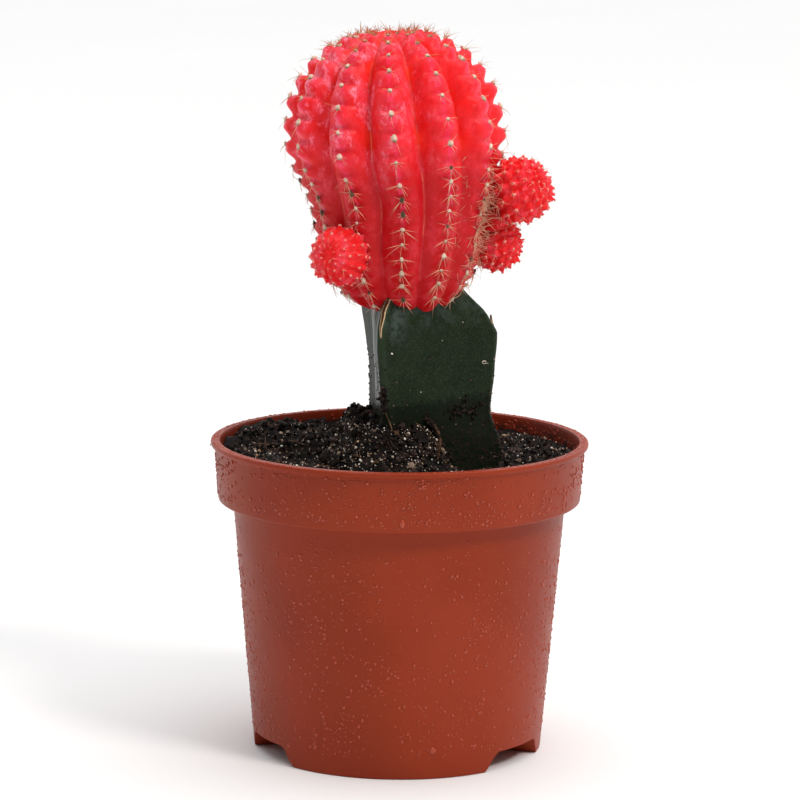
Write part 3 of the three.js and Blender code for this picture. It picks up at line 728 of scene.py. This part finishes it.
def make_drops(material):
    """Water drops on the pot: fine and large ones on its outside, and more on its lip and inner wall."""
    random = np.random.default_rng(31)
    base = POT.band_base
    for name, shape, count, low, high, bare in (
        ("pot_drops_fine", dome(5, 2), 5000, 0.13, 0.28, 1.5),
        ("pot_drops", dome(8, 2), 2350, 0.22, 0.44, 4),
    ):
        height = random.uniform(4.6, 68.6, count * 5)
        angle = random.uniform(-math.pi, math.pi, count * 5)
        patchy = fractal(ring_of(40, height, angle), 9, 5)
        body = smoothstep(height, base - bare + 3 * patchy, base - 3 * bare)
        chance = np.where(height > base, 1, 0.6 * body) * (0.5 + 0.5 * patchy)
        keep = random.uniform(0, 1, count * 5) < chance
        height, angle = height[keep][:count], angle[keep][:count]
        size = skewed(random, low, high, len(height), 1.6)
        height = np.where((height > base - 0.6) & (height < base + 1), height + 1.6, height)
        radius = np.minimum(pot_wall(height) - size * 0.05, POT.rim + 0.15 - size * 0.55)
        sizes = by_three(size, random.uniform(1.0, 1.25, len(size)), 0.55)
        normals = ring_of(1, np.where(height > base, -0.07, -0.087), angle)
        frames = frames_down(normals, ring_of(0, -1, angle))
        piece(name, scattered(shape, ring_of(radius, height, angle), frames, sizes, random), material)

    angle = random.uniform(-math.pi, math.pi, 520)
    size = skewed(random, 0.14, 0.364, len(angle), 1.4)
    centres = ring_of(random.uniform(40.7, 41.9, len(angle)), POT.height - 0.03, angle)
    frames = frames_down(ring_of(0, 1, angle), ring_of(-1, 0, angle))
    lip = scattered(dome(8, 2), centres, frames, by_three(size, 1.1, 0.5), random)
    angle = random.normal(0.75, 0.8, 700)
    height = random.uniform(60, 69.2, len(angle))
    size = skewed(random, 0.14, 0.448, len(angle), 1.5)
    frames = frames_down(ring_of(-1, 0, angle), ring_of(0, -1, angle))
    centres = ring_of(inner_wall(height) + size * 0.1, height, angle)
    inner = scattered(dome(6, 2), centres, frames, by_three(size, 1.2, 0.45), random)
    piece("pot_drops_rim", joined(lip, inner), material)

    # A drip under the band's front, and one large drop low on the wall.
    x, height, width, tall = np.array(DRIPS).T
    radius = pot_wall(height)
    angle = -np.arccos(x / radius)
    frames = frames_down(ring_of(1, -0.08, angle), ring_of(0, -1, angle))
    sizes = np.stack([width, tall, np.full(len(x), 0.4)], -1)
    drips = scattered(ball(4), ring_of(radius - 0.05, height, angle), frames, sizes, random)
    piece("pot_drips", drips, material)


# ---- soil -------------------------------------------------------------------------------------


def soil_level(x, y):
    (mx, my), (ax, ay) = SOIL.mound_centre, SOIL.mound_half
    from_mound = np.hypot((x - mx) / ax, (y - my) / ay)
    level = SOIL.level + SOIL.mound * (1 - smoothstep(from_mound, *SOIL.mound_edge))
    level += SOIL.wall_rise * smoothstep(np.hypot(x, y), *SOIL.wall_range)
    for rise, centre, spread in SOIL.swells:
        level += rise * bell(x, y, centre, 2 * spread ** 2)
    for fx, fy, phase in SOIL.waves:
        level += SOIL.lump * np.sin(fx * x + fy * y + phase)
    return level


def soil_top(x, y):
    """The soil's surface with its lumps and crumbs."""
    at = np.stack([x, y, 0 * x], -1)
    fine = 0.6 * fractal(at, 2.4, 11) + 0.5 * np.abs(fractal(at, 1.0, 12, 2))
    return soil_level(x, y) - 0.35 + fine * smoothstep(np.hypot(x, y), 38.8, 36)


def soil_normals(x, y):
    slope_x = (soil_level(x + 0.4, y) - soil_level(x - 0.4, y)) / 0.8
    slope_y = (soil_level(x, y + 0.4) - soil_level(x, y - 0.4)) / 0.8
    return unit(np.stack([-slope_x, -slope_y, np.ones(len(x))], -1))


def on_soil(count, random, reach=38.6, lean=None):
    """Random places on the soil outside the stem, more where it is steep, with its normals there."""
    radius = reach * np.sqrt(random.uniform(0, 1, count * 5))
    angle = random.uniform(-math.pi, math.pi, count * 5)
    x, y = radius * np.cos(angle), radius * np.sin(angle)
    chance = np.clip(0.42 / soil_normals(x, y)[:, 2], 0, 1)
    if lean is not None:
        chance = chance * lean(x, y)
    keep = (np.hypot(x - 3.5, y) > 7) & (random.uniform(0, 1, len(x)) < chance)
    x, y = x[keep][:count], y[keep][:count]
    return np.stack([x, y, soil_top(x, y)], -1), soil_normals(x, y)


def on_mounds(x, y):
    return 0.25 + 0.75 * np.maximum(bell(x, y, (2, -6), 200), bell(x, y, (-30, 18), 160))


def in_front(x, y):
    return 0.3 + 0.7 * bell(x, y, (-2, -17), 260)


def grains(name, material, random, places, fineness, sizes, power, lift, squash, rough, shade_power):
    """Loose grains on the soil, each with its own size, height, turn and shade."""
    centres, normals = places
    size = skewed(random, *sizes, len(centres), power)
    centres = centres + normals * lift(size)[:, None]
    sizes = size[:, None] * random.uniform(*squash, (len(size), 3))
    shape = ball(fineness)
    points, faces = scattered(shape, centres, frames_on(normals, random), sizes, random, rough)
    shade = np.repeat(random.uniform(0, 1, len(centres)) ** shade_power, len(shape[0]))
    piece(name, (points, faces, {"shade": shade}), material, smooth=False)


def make_soil(soil, crumb, perlite, fibre, bark):
    rows, turn = 110, turns(300)
    share = (np.arange(1, rows + 1) / rows)[:, None]
    x, y = SOIL.radius * share * np.cos(turn), SOIL.radius * share * np.sin(turn)
    stretch = lerp(1, (inner_wall(soil_top(x, y)[-1]) - SOIL.gap) / SOIL.radius, share ** 3)
    x, y = x * stretch, y * stretch
    sides = [ring_of(inner_wall(h) - SOIL.gap, h, turn) for h in (58.4, 57, 40, 20)]
    bottom = POT.floor + POT.wall + SOIL.foot_gap
    sides.append(ring_of(inner_wall(bottom) - SOIL.foot_gap, bottom, turn))
    rings = np.concatenate([np.stack([x, y, soil_top(x, y)], -1), np.stack(sides)])
    start = (0, 0, soil_top(np.zeros(1), np.zeros(1))[0])
    points, faces = closed_rings(start, rings, (0, 0, bottom))
    shade = np.clip(0.30 + 0.35 * fractal(points, 1.3, 21), 0, 0.6)
    piece("soil_surface", (points, faces, {"shade": shade}), soil, "soil")

    random = np.random.default_rng(53)

    def loose(size):
        return size * random.uniform(-0.1, 0.8, len(size))

    def on_top(size):
        return size * 0.5 + 0.25

    grains("soil_crumbs_fine", crumb, random, on_soil(6700, random),
           1, (0.15, 0.5), 1.4, loose, (0.55, 1.15), 0.3, 2.2)
    grains("soil_crumbs", crumb, random, on_soil(700, random, lean=on_mounds),
           2, (0.45, 1.15), 1.4, loose, (0.55, 1.15), 0.22, 4)
    grains("soil_grit_fine", perlite, random, on_soil(2100, random, 38.4, in_front),
           1, (0.08, 0.24), 1.3, on_top, (0.6, 1.1), 0.16, 1)
    grains("soil_grit", perlite, random, on_soil(170, random, 38.4, in_front),
           2, (0.22, 0.48), 1.3, on_top, (0.6, 1.1), 0.16, 1)

    centres, normals = on_soil(190, random, 36)
    along = unit(np.cross(normals, random.normal(size=normals.shape)))
    lift = along + normals * random.uniform(-0.05, 0.35, (len(along), 1))
    bends = np.cross(normals, along) * random.normal(0, 0.35, (len(along), 1)) - normals * 0.2
    fibres = needles(centres + normals * 0.3, unit(lift), bends, random.uniform(1, 5.5, len(along)),
                     random.uniform(0.05, 0.14, len(along)), rings=6, blunt=0.4)
    piece("soil_fibres", fibres[:2], fibre)

    # Bark: a curled strip in front of the stem, and flakes that lie about.
    curled = ((7.6, -11.8, 75.4), (8.6, -12.4, 73.4), (8.9, -12.6, 71.0), (8.5, -12.8, 68.8),
              (7.8, -13.2, 66.4))
    flakes = [strip(curled, (0.9, -1, 0.2), 0.42, 0.26)]
    for centre, normal in zip(*on_soil(60, random, 36)):
        along = unit(np.cross(normal, random.normal(size=3)))
        reach = random.uniform(0.6, 2.0)
        middle = centre + normal * random.uniform(0.3, 0.9)
        line = (centre + normal * 0.3 - along * reach, middle, centre + normal * 0.3 + along * reach)
        flakes.append(strip(line, normal, random.uniform(0.2, 0.5), random.uniform(0.1, 0.2), 6, 4))
    piece("soil_bark", joined(*flakes), bark)


# ---- stem -------------------------------------------------------------------------------------


def wing_radius(wing, height):
    levels, radii = np.array(wing[1]).T
    height = np.clip(height, levels[0], levels[-1])
    i = np.clip(np.searchsorted(levels, height, side="left"), 1, len(levels) - 1)
    share = (levels[i] - height) / (levels[i] - levels[i - 1])
    return lerp(radii[i], radii[i - 1], lerp(share, smoothstep(share, 0, 1), STEM.ease))


def stem_axis(height):
    return STEM.axis + STEM.lean * (height - STEM.middle)


def stem_outline(height):
    """The stem's outline at a height, as a dense closed line."""
    points = []
    tip, deep, flat = STEM.tip_round, STEM.tip_depth, STEM.tip_round * STEM.tip_flat
    for wing, following in zip(WINGS, WINGS[1:] + WINGS[:1]):
        radius = wing_radius(wing, height)
        angle = math.radians(wing[0])
        for out, side in ((radius - deep, -tip), (radius, -flat), (radius, flat), (radius - deep, tip)):
            points.append((stem_axis(height) + out * math.cos(angle) - side * math.sin(angle),
                           out * math.sin(angle) + side * math.cos(angle), height))
        half = math.radians(wing[0] + 180 / len(WINGS))
        face = min(STEM.face, (radius + wing_radius(following, height)) * STEM.fullness)
        points.append((stem_axis(height) + face * math.cos(half), face * math.sin(half), height))
    return smooth_curve(points, closed=True, steps=10)


def stem_front(height):
    """The stretch of the outline between the tips of the two front wings."""
    return stem_outline(height)[20:61]


def make_stem(material):
    heights = np.linspace(STEM.top, STEM.bottom, 150)
    rings = np.stack([stem_outline(height) for height in heights])
    middle = np.stack([stem_axis(heights), 0 * heights, heights], -1)[:, None]
    outward = unit((rings - middle) * (1, 1, 0))
    rough = 0.16 * fractal(rings * (1, 1, 0.5), 4.5, 41) + 0.06 * fractal(rings * (1, 1, 0.25), 1.2, 42)
    away = np.linalg.norm((rings - middle)[..., :2], axis=-1)
    angle = np.degrees(np.arctan2(rings[..., 1], (rings - middle)[..., 0]))

    def beside(wing):
        return (angle - wing[0] + 180) % 360 - 180

    def near(wing):
        radius = wing_radius(wing, heights)[:, None]
        return smoothstep(np.abs(beside(wing)), 5, 2) * smoothstep(away / radius, 0.93, 0.99)

    # The front wing has a corky edge near the top. The material reads how far to its side a point lies.
    front = beside(WINGS[0])
    cork = smoothstep(np.abs(front), 3, 1.5) * near(WINGS[0]) * smoothstep(rings[..., 2], 95, 98)
    rough += 0.12 * cork * (0.8 + np.abs(fractal(rings, 1.0, 43)))
    rings = rings + outward * rough[..., None]
    # The first value is nearness to a wing tip, which the skin uses for a painted highlight along the wing
    # edges.
    values = {"edge": np.max([near(wing) for wing in WINGS], axis=0),
              "side": np.clip(np.radians(front) * away, -20, 6)}
    values = {key: np.concatenate([[0], value.ravel(), [0]]) for key, value in values.items()}
    shape = (*closed_rings(middle[0, 0], rings, middle[-1, 0]), values)
    piece("stem", shape, material, "rootstock")


def wing_tip(wing, height, out=0.0):
    radius = float(wing_radius(WINGS[wing], height)) + out
    return ring_of(radius, height, math.radians(WINGS[wing][0])) + (stem_axis(height), 0, 0)


def on_front_face(x, height, out=0.0):
    """The place on the stem's front face at an x and a height."""
    front = stem_front(height)
    return np.array((x, float(np.interp(x, front[:, 0], front[:, 1])) - out, height))


def behind_front_face(point):
    """Whether a place lies inside the stem, behind its front face."""
    x, y, height = point
    if height > STEM.top:
        return False
    front = stem_front(height)[:, 0]
    return front[0] < x < front[-1] and on_front_face(x, height)[1] < y < 0


def make_stem_dirt(crumb, perlite, fibre, felt):
    """Soil stuck to the stem, a root and a husk on its edges, specks, and the stem's own areoles."""
    random = np.random.default_rng(88)
    count = 900
    heights = 66 + 24 * random.uniform(0, 1, count) ** 1.9
    spots = random.integers(0, 150, count)
    centres = np.array([stem_outline(h)[i] for h, i in zip(heights, spots)])
    normals = unit((centres - np.stack([stem_axis(heights), 0 * heights, heights], -1)) * (1, 1, 0))
    lump = [wing_tip(0, h, 0.35) + random.normal(0, 0.45, 3) for h in np.linspace(79.6, 83.4, 46)]
    lump += [on_front_face(x, height, 0.3) + random.normal(0, 0.4, 3)
             for x, height in np.linspace((5.9, 76.6), (8.2, 73.2), 70)]
    lump += [on_front_face(*random.normal((14.4, 77.2), (2.2, 1.3)), 0.05) for _ in range(50)]
    normals = np.vstack([normals, np.tile((-0.4, -0.9, 0.0), (len(lump), 1))])
    size = np.concatenate([random.uniform(0.1, 0.3, count), random.uniform(0.3, 0.6, len(lump))])
    sizes = size[:, None] * random.uniform(0.6, 1.2, (len(size), 3))
    shape = ball(1)
    frames = frames_on(normals, random)
    points, faces = scattered(shape, np.vstack([centres, lump]), frames, sizes, random, 0.3)
    shade = random.uniform(0, 0.95, len(size))
    shade[count:] *= 0.6
    shade = np.repeat(shade, len(shape[0]))
    piece("stem_soil", (points, faces, {"shade": shade}), crumb, smooth=False)

    root = [wing_tip(0, h, 0.5) + (across, 0, 0)
            for across, h in ((0.3, 80.5), (0.2, 78.5), (0.9, 76), (1.7, 72.5))]
    husk = [wing_tip(1, h, out) for h, out in ((95.2, 0.05), (96.6, 0.35), (98.0, 0.9))]
    husks = joined(strip(root, (-0.4, -0.9, 0), 0.2, 0.16), strip(husk, (0.2, -1, 0), 0.3, 0.14, 8, 6))
    piece("stem_husks", husks, fibre)

    curl = [on_front_face(18.7 + 0.4 * math.cos(a), 87.6 + 0.3 * math.sin(a), 0.15)
            for a in np.linspace(-0.4, 5.2, 9)] + [on_front_face(19.7, 87.3, 0.2)]
    places = ((-1.9, 91.7, 0.02), (13.8, 97.0, 0.05), (4.6, 82.4, 0.05), (9.2, 93.4, 0.02))
    sizes = ((0.2, 0.34, 0.12), (0.14, 0.12, 0.1), (0.14, 0.14, 0.1), (0.1, 0.1, 0.1))
    frames = frames_on(np.tile((0.0, -1.0, 0.1), (len(places), 1)), random)
    specks = scattered(ball(2), [on_front_face(*place) for place in places], frames, sizes, random, 0.2)
    curled = strip(curl, (0, -1, 0), 0.11, 0.09, 6, 4)
    shade = np.repeat((0, 0.55), (len(specks[0]), len(curled[0])))
    piece("stem_specks", (*joined(specks, curled), {"shade": shade}), perlite, smooth=False)

    places = [wing_tip(2, 88.1), wing_tip(2, 73.5), wing_tip(1, 96.2), wing_tip(1, 76.2)]
    outward = np.array([place - (stem_axis(place[2]), 0, place[2]) for place in places])
    frames = frames_down(outward, np.tile((0.0, 0.0, -1.0), (len(places), 1)))
    points, faces = scattered(ball(3), places, frames, [(0.7, 0.9, 0.45)] * len(places), random, 0.1)
    values = {"under": np.zeros(len(points)), "age": np.full(len(points), 0.86)}
    piece("stem_areoles", (points, faces, values), felt)


# ---- head and offsets -------------------------------------------------------------------------


class Form:
    """A ribbed head. A place on it is an angle counted in ribs and a turn down the rib counted in
    areoles, from 0 at the crown to count + 1 at the base. Its matrix stands it in its place."""

    def __init__(self, spec, matrix):
        self.spec = spec
        self.matrix = matrix
        self.line = smooth_curve([(radius, 0, height) for radius, height in spec.outline], steps=60)
        steps = np.linalg.norm(np.diff(self.line, axis=0), axis=1)
        self.travelled = np.concatenate([[0], np.cumsum(steps)])
        self.length = self.travelled[-1]
        self.tangents = unit(np.gradient(self.line, self.travelled, axis=0))
        stations = [spec.shift[rib % len(spec.shift)] + np.cumsum(spec.steps) for rib in range(spec.ribs)]
        self.count = min(int(np.sum(row < self.length - 1)) for row in stations)
        self.table = np.array([[0, *row[:self.count], self.length] for row in stations])

    def distance(self, rib, turn):
        """How far down the head a turn of a rib is, along the outline."""
        whole = np.clip(np.floor(turn).astype(int), 0, self.count)
        rib = rib % self.spec.ribs
        return lerp(self.table[rib, whole], self.table[rib, whole + 1], turn - whole)

    def bump(self, turn):
        """How far the rib stands up at a turn: 1 on the hump below an areole, 0 in the notch above one."""
        hump, notch, areole = self.spec.hump, self.spec.notch, RELIEF.areole
        phase = turn - np.clip(np.floor(turn), 0, self.count)
        bump = np.where(phase < hump, lerp(areole, 1, smoothstep(phase, 0, hump)),
                        1 - smoothstep(phase, hump, notch))
        bump = np.where(phase > notch, areole * smoothstep(phase, notch, 1), bump)
        bump = np.where(turn < 1, areole * smoothstep(turn, 0.25, 1), bump)
        return np.where(turn > self.count, areole * (1 - smoothstep(phase, 0.15, 0.8)), bump)

    def surface(self, across, turn, plain=False):
        """Points, and how far each is up a rib, down the head, and up a tubercle."""
        spec = self.spec
        across, turn = np.broadcast_arrays(np.asarray(across, float), np.asarray(turn, float))
        rib = np.floor(across).astype(int)
        to_next = smoothstep(across - rib, 0, 1)
        distance = lerp(self.distance(rib, turn), self.distance(rib + 1, turn), to_next)
        round_about = ring_of(spec.ribs / 6, turn, across / spec.ribs * 2 * math.pi)
        within = smoothstep(turn, 0, 1) * (1 - smoothstep(turn, self.count, self.count + 1))
        distance = distance + 2 * spec.wobble * noise(round_about, 1.3, 64) * within
        t = np.clip(distance / self.length, 0, 1)
        centre_x, centre_z, tangent_x, tangent_z = (
            np.interp(distance, self.travelled, row) for row in (
                self.line[:, 0], self.line[:, 2], self.tangents[:, 0], self.tangents[:, 2]))
        low = smoothstep(distance, spec.change - RELIEF.blend, spec.change + RELIEF.blend)
        soft = RELIEF.furrow_round
        ridge = ((np.cos(math.pi * across) ** 2 + soft) / (1 + soft)) ** (RELIEF.ridge_power / 2)
        bump = self.bump(turn)
        wobbled = across + spec.wobble * noise(round_about, 1.3, 63)
        angle = -math.pi / 2 + wobbled / spec.ribs * 2 * math.pi
        inward = lerp(spec.furrow, spec.low_furrow, low) * centre_x * (1 - ridge)
        if not plain:
            crest = ridge ** (spec.crest_power * lerp(0.6, 1, smoothstep(distance, 14, 30)))
            off = np.hypot(np.abs(across - np.round(across)), np.abs(turn - np.round(turn)))
            cone = smoothstep(1 - 1.75 * off, -0.1, 1.15) / 0.96
            bump = lerp(bump, cone, spec.pointed)
            uneven = 0.8 + 0.35 * noise(round_about, 1, 65)
            relief = lerp((1 - bump) * crest, 1 - cone * uneven, spec.pointed)
            inward = inward + lerp(spec.tubercle, spec.low_tubercle, low) * relief
            at = ring_of(centre_x, centre_z, angle)
            inward = inward + spec.rough * (fractal(at, 5.5, 61) + 0.3 * fractal(at, 1.4, 62, 2))
        inward = inward * smoothstep(t, 0, RELIEF.crown_fade) * (1 - smoothstep(t, RELIEF.base_fade, 1))
        sag = (spec.sag * smoothstep(t, RELIEF.sag_start, RELIEF.sag_end)
               * np.maximum(0, np.cos(angle - math.radians(spec.sag_angle))))
        height = centre_z - inward * tangent_x - sag
        bow = spec.bow * np.exp(-((height - spec.bow_height) / spec.bow_spread) ** 2)
        points = ring_of(centre_x + inward * tangent_z, height, angle)
        return points + bow[..., None] * (1, 0, 0), ridge, low, bump

    def stood(self, points):
        """Points in their place on the plant."""
        m = np.array(self.matrix)
        return np.asarray(points) @ m[:3, :3].T + m[:3, 3]

    def body(self):
        spec = self.spec
        rib_angle = np.arange(spec.ribs * spec.columns) / spec.columns
        turn = np.linspace(0, self.count + 1, (self.count + 1) * 2 * spec.rows + 1)[1:-1]
        rings, *values = self.surface(rib_angle[None], turn[:, None])
        crown = (0, 0, spec.outline[0][1] - spec.tubercle / 2)
        points, faces = closed_rings(crown, rings, (0, 0, spec.outline[-1][1]))
        values = {key: np.concatenate([[value[0].mean()], value.ravel(), [value[-1].mean()]])
                  for key, value in zip(("ridge", "low", "bump"), values)}
        return self.stood(points), faces, values

    def areoles(self):
        """Every areole's place and axes (side, down, outward), and how far down the head it is."""
        spec = self.spec
        rib, turn = (grid.ravel() for grid in np.meshgrid(
            np.arange(spec.ribs), np.arange(1, self.count + 1), indexing="ij"))
        down = unit(self.surface(rib, turn + 0.4, True)[0] - self.surface(rib, turn - 0.4, True)[0])
        side = unit(self.surface(rib + 0.05, turn, True)[0]
                    - self.surface(rib - 0.05 + spec.ribs, turn, True)[0])
        m = np.array(self.matrix.to_3x3().normalized())
        axes = (axis @ m.T for axis in (side, down, unit(np.cross(down, side))))
        return self.stood(self.surface(rib, turn)[0]), *axes, self.distance(rib, turn)


def spines_of(form, random, offset=0.0):
    """The spines of every areole of a head, or of an offset of a given scale."""
    at, side, down, outward, distance = form.areoles()
    clump = np.exp(-np.sum(((at - SPINY) / (8, 9, 13)) ** 2, axis=1))
    rows = []
    for i in range(len(at)):
        if offset and random.uniform(0, 1) > 0.35 + 0.2 * offset + clump[i]:
            continue
        hidden = behind_front_face(at[i])
        if offset:
            number, rise, spread, thick = 1 + 2 * (offset > 1.1) + 2 * clump[i], 1.1, 150, 0.05
            length = 1.3 + 1.2 * clump[i]
        elif distance[i] < 15:
            number, rise, spread, length, thick = 12, 1.7, 170, 2.5, 0.09
        elif distance[i] < 42:
            number, rise, spread, length, thick = 5, 0.9, 140, 3.3, 0.075
        else:
            number, rise, spread, length, thick = 8, 0.5, 112, 3.6, 0.08
        number = int(number * (1 + 1.6 * clump[i])) + random.integers(-1, 2)
        spread = lerp(spread, 180, clump[i])
        for k in range(number):
            turn = math.radians(lerp(-spread, spread, (k + 0.5) / number) + random.normal(0, 14))
            flat = side[i] * math.sin(turn) + down[i] * math.cos(turn)
            way = unit(flat + outward[i] * rise * random.uniform(0.3, 1.7))
            root = at[i] + flat * 0.12 - outward[i] * 0.15
            bend = down[i] * 0.15 - outward[i] * random.uniform(0, 0.4) + random.normal(0, 0.12, 3)
            reach = length * random.uniform(0.45, 1.25) * (1 + 0.4 * clump[i])
            reach = min(reach, (TALLEST - root[2]) / max(way[2] + max(bend[2], 0), 0.01))
            thickness = thick * random.uniform(0.75, 1.25)
            if not hidden:
                rows.append((*root, *way, *bend, reach, thickness))
    rows = np.array(rows)
    return needles(rows[:, 0:3], rows[:, 3:6], rows[:, 6:9], rows[:, 9], rows[:, 10])


def pads_of(form, random, size, fineness):
    """The felt pads of every areole, with how far each point lies to the lower side (painted darker as
    shade), and its age.
    """
    at, side, down, outward, distance = form.areoles()
    shape = ball(fineness)
    old = smoothstep(distance, form.spec.change - 8, form.spec.change + 14)
    each = size * np.clip(0.55 + distance / 20, 0.6, 1) * random.uniform(0.65, 1.2, len(at))
    each = each * (1 - 0.2 * old)
    sizes = by_three(each, random.uniform(1.0, 1.6, len(at)), 0.7)
    points, faces = scattered(shape, at, np.stack([-side, down, outward], 1), sizes, random, 0.2)
    # How far each point lies to the pad's lower side, which the felt paints darker as shade.
    under = np.tile(smoothstep(shape[0][:, 1], 0.1, 0.75), len(at))
    age = random.uniform(0, 0.4, len(at)) + old * random.uniform(0, 0.4, len(at))
    age = np.where(random.uniform(0, 1, len(at)) < 0.28 * old, 1, age)
    return points, faces, {"under": under, "age": np.repeat(age, len(shape[0]))}


def bristles_of(form, random, count):
    """Fine bristles in the gap between the head and the offsets."""
    tries = count * 12
    rib, turn = random.uniform(1.1, 3.3, tries), random.uniform(7, form.count - 1, tries)
    inner = form.stood(form.surface(rib, turn)[0])
    near = np.exp(-np.sum(((inner - SPINY) / (6, 7, 10)) ** 2, axis=1))
    inner = inner[np.flatnonzero(random.uniform(0, 1, tries) < near)[:count]]
    outward = unit((inner - (0, 0, SPINY[2])) * (1, 1, 0.3))
    ways = unit(outward + random.normal(0, 0.75, inner.shape))
    bends = random.normal(0, 0.35, inner.shape)
    return needles(inner - outward * 0.1, ways, bends, random.uniform(1.8, 4.6, len(inner)),
                   random.uniform(0.045, 0.085, len(inner)), rings=6)


def stalk_of(middle):
    """The short stalk between the head's axis and the middle of an offset."""
    inside = np.array([(SCION_BASE[0] + middle[0]) / 2, middle[1] / 2, middle[2]])
    share = np.linspace(0, 1, 14)[:, None, None]
    way = np.array(middle) - inside
    first = unit(np.cross(way, (0, 0, 1)))
    other = unit(np.cross(way, first))
    around = turns(28)[None, :, None]
    waist = STALK * (1 - 0.12 * np.sin(share * math.pi))
    rings = inside + way * share + (first * np.cos(around) + other * np.sin(around)) * waist
    rings = rings + 0.1 * fractal(rings, 3, 71)[..., None]
    points, faces = closed_rings(inside, rings, middle)
    ones = np.ones(len(points))
    return points, [face[::-1] for face in faces], {"ridge": 0.5 * ones, "low": ones, "bump": ones}


def make_scion(flesh, young_flesh, felt, young_felt, spine):
    random = np.random.default_rng(77)
    lean = Matrix.Rotation(math.radians(SCION_LEAN), 4, "Y")
    head = Form(HEAD, Matrix.Translation(SCION_BASE) @ lean)
    piece("head", head.body(), flesh, "scion")
    piece("head_areoles", pads_of(head, random, 0.6, 2), felt)
    piece("head_spines", spines_of(head, random), spine)
    piece("head_bristles", bristles_of(head, random, 190), spine)

    for name, centre, facing, scale, relief in OFFSETS:
        middle, towards = Vector(centre), Vector(facing).normalized()
        foot = middle - towards * OFFSET.outline[0][1] / 2 * scale
        turn = Vector((0, 0, 1)).rotation_difference(towards).to_matrix().to_4x4()
        spec = Sizes(**{**vars(OFFSET), "tubercle": OFFSET.tubercle * relief})
        form = Form(spec, Matrix.Translation(foot) @ turn @ Matrix.Scale(scale, 4))
        points, faces, values = form.body()
        values["ridge"] = 0.5 + 0.48 * values["bump"]
        # The offsets turn a darker red near the gap to the head and the other right offset: painted shade
        # between the parts.
        values["low"] = smoothstep(np.linalg.norm((points - SPINY) * (1, 0.8, 0.6), axis=1), 8, 3)
        piece(name, (points, faces, values), young_flesh)
        if scale < 0.5:
            continue
        piece(name + "_areoles", pads_of(form, random, 0.34 * scale, 1), young_felt)
        piece(name + "_spines", spines_of(form, random, scale), spine)
        piece(name + "_stalk", stalk_of(middle), flesh)


# ---- the scene --------------------------------------------------------------------------------


def make_floor():
    s = Shader("stage_floor", Specular_IOR_Level=0.2)
    tone = s.mix(s.noise(300, 2), (0.86, 0.86, 0.86), (0.89, 0.89, 0.89))
    material = s.finish(Base_Color=tone, Roughness=0.8, Normal=s.bump(s.noise(40, 2), 0.05, 0.2))
    shape = bmesh.new()
    bmesh.ops.create_grid(shape, x_segments=24, y_segments=24, size=12)
    mesh = bpy.data.meshes.new("stage_floor")
    shape.to_mesh(mesh)
    shape.free()
    mesh.materials.append(material)
    linked("stage_floor", mesh)


def make_camera():
    lens = bpy.data.cameras.new("camera")
    lens.sensor_width = 36
    lens.lens = 165.72
    lens.clip_end = 60
    camera = linked("camera", lens)
    tilt = Matrix.Rotation(math.pi / 2 - 0.1684, 4, "X") @ Matrix.Rotation(0.0085, 4, "Z")
    camera.matrix_world = Matrix.Translation((0, -0.8123, 0.2169)) @ tilt
    bpy.context.scene.camera = camera
    bpy.context.scene.view_settings.view_transform = "Standard"


def make_lights():
    """A white world that lights less from the front, a wide sun overhead, and a soft key light."""
    world = bpy.data.worlds.new("studio")
    world.use_nodes = True
    bpy.context.scene.world = world
    nodes, links = world.node_tree.nodes, world.node_tree.links
    place, split, backdrop, seen, ray = (nodes.new("ShaderNode" + kind) for kind in (
        "TexCoord", "SeparateXYZ", "MapRange", "Math", "LightPath"))
    backdrop.interpolation_type = "SMOOTHSTEP"
    for key, value in (("From Min", -0.4), ("From Max", 0.5), ("To Min", 0.18), ("To Max", 1.0)):
        backdrop.inputs[key].default_value = value
    seen.operation = "MAXIMUM"
    links.new(place.outputs["Generated"], split.inputs[0])
    links.new(split.outputs["Y"], backdrop.inputs["Value"])
    links.new(backdrop.outputs[0], seen.inputs[0])
    links.new(ray.outputs["Is Camera Ray"], seen.inputs[1])
    links.new(seen.outputs[0], nodes["Background"].inputs["Strength"])
    nodes["Background"].inputs["Color"].default_value = (1, 1, 1, 1)
    sun = bpy.data.lights.new("overhead", "SUN")
    sun.energy = 1.7
    sun.angle = math.radians(70)
    linked("overhead", sun).rotation_euler = (math.radians(12), math.radians(10), 0)
    key_light = bpy.data.lights.new("key", "AREA")
    key_light.shape = "DISK"
    key_light.size = 0.5
    key_light.energy = 14.5
    key_light.color = (1.0, 0.95, 0.90)
    lamp = linked("key", key_light)
    lamp.location = (0.95, -0.95, 1.45)
    lamp.rotation_euler = (Vector((0, 0, 0.08)) - lamp.location).to_track_quat("-Z", "Y").to_euler()


crumb_look = soil_material(
    "soil_crumb", (0.004, 0.0028, 0.0024), (0.028, 0.0168, 0.0125), (0.32, 0.22, 0.16))
peat_look = soil_material(
    "soil_peat", (0.003, 0.0022, 0.002), (0.009, 0.0055, 0.004), (0.03, 0.018, 0.012))
grit_look, fibre_look, felt_look = perlite_material(), fibre_material(), felt_material()
make_pot(pot_material())
make_drops(drop_material())
make_soil(peat_look, crumb_look, grit_look, fibre_look, bark_material())
make_stem(stem_material())
make_stem_dirt(crumb_look, grit_look, fibre_look, felt_look)
make_scion(flesh_material("scion_flesh", 0.2), flesh_material("scion_flesh_young", 0.6), felt_look,
           offset_felt_material(), spine_material())
make_floor()
make_camera()
make_lights()
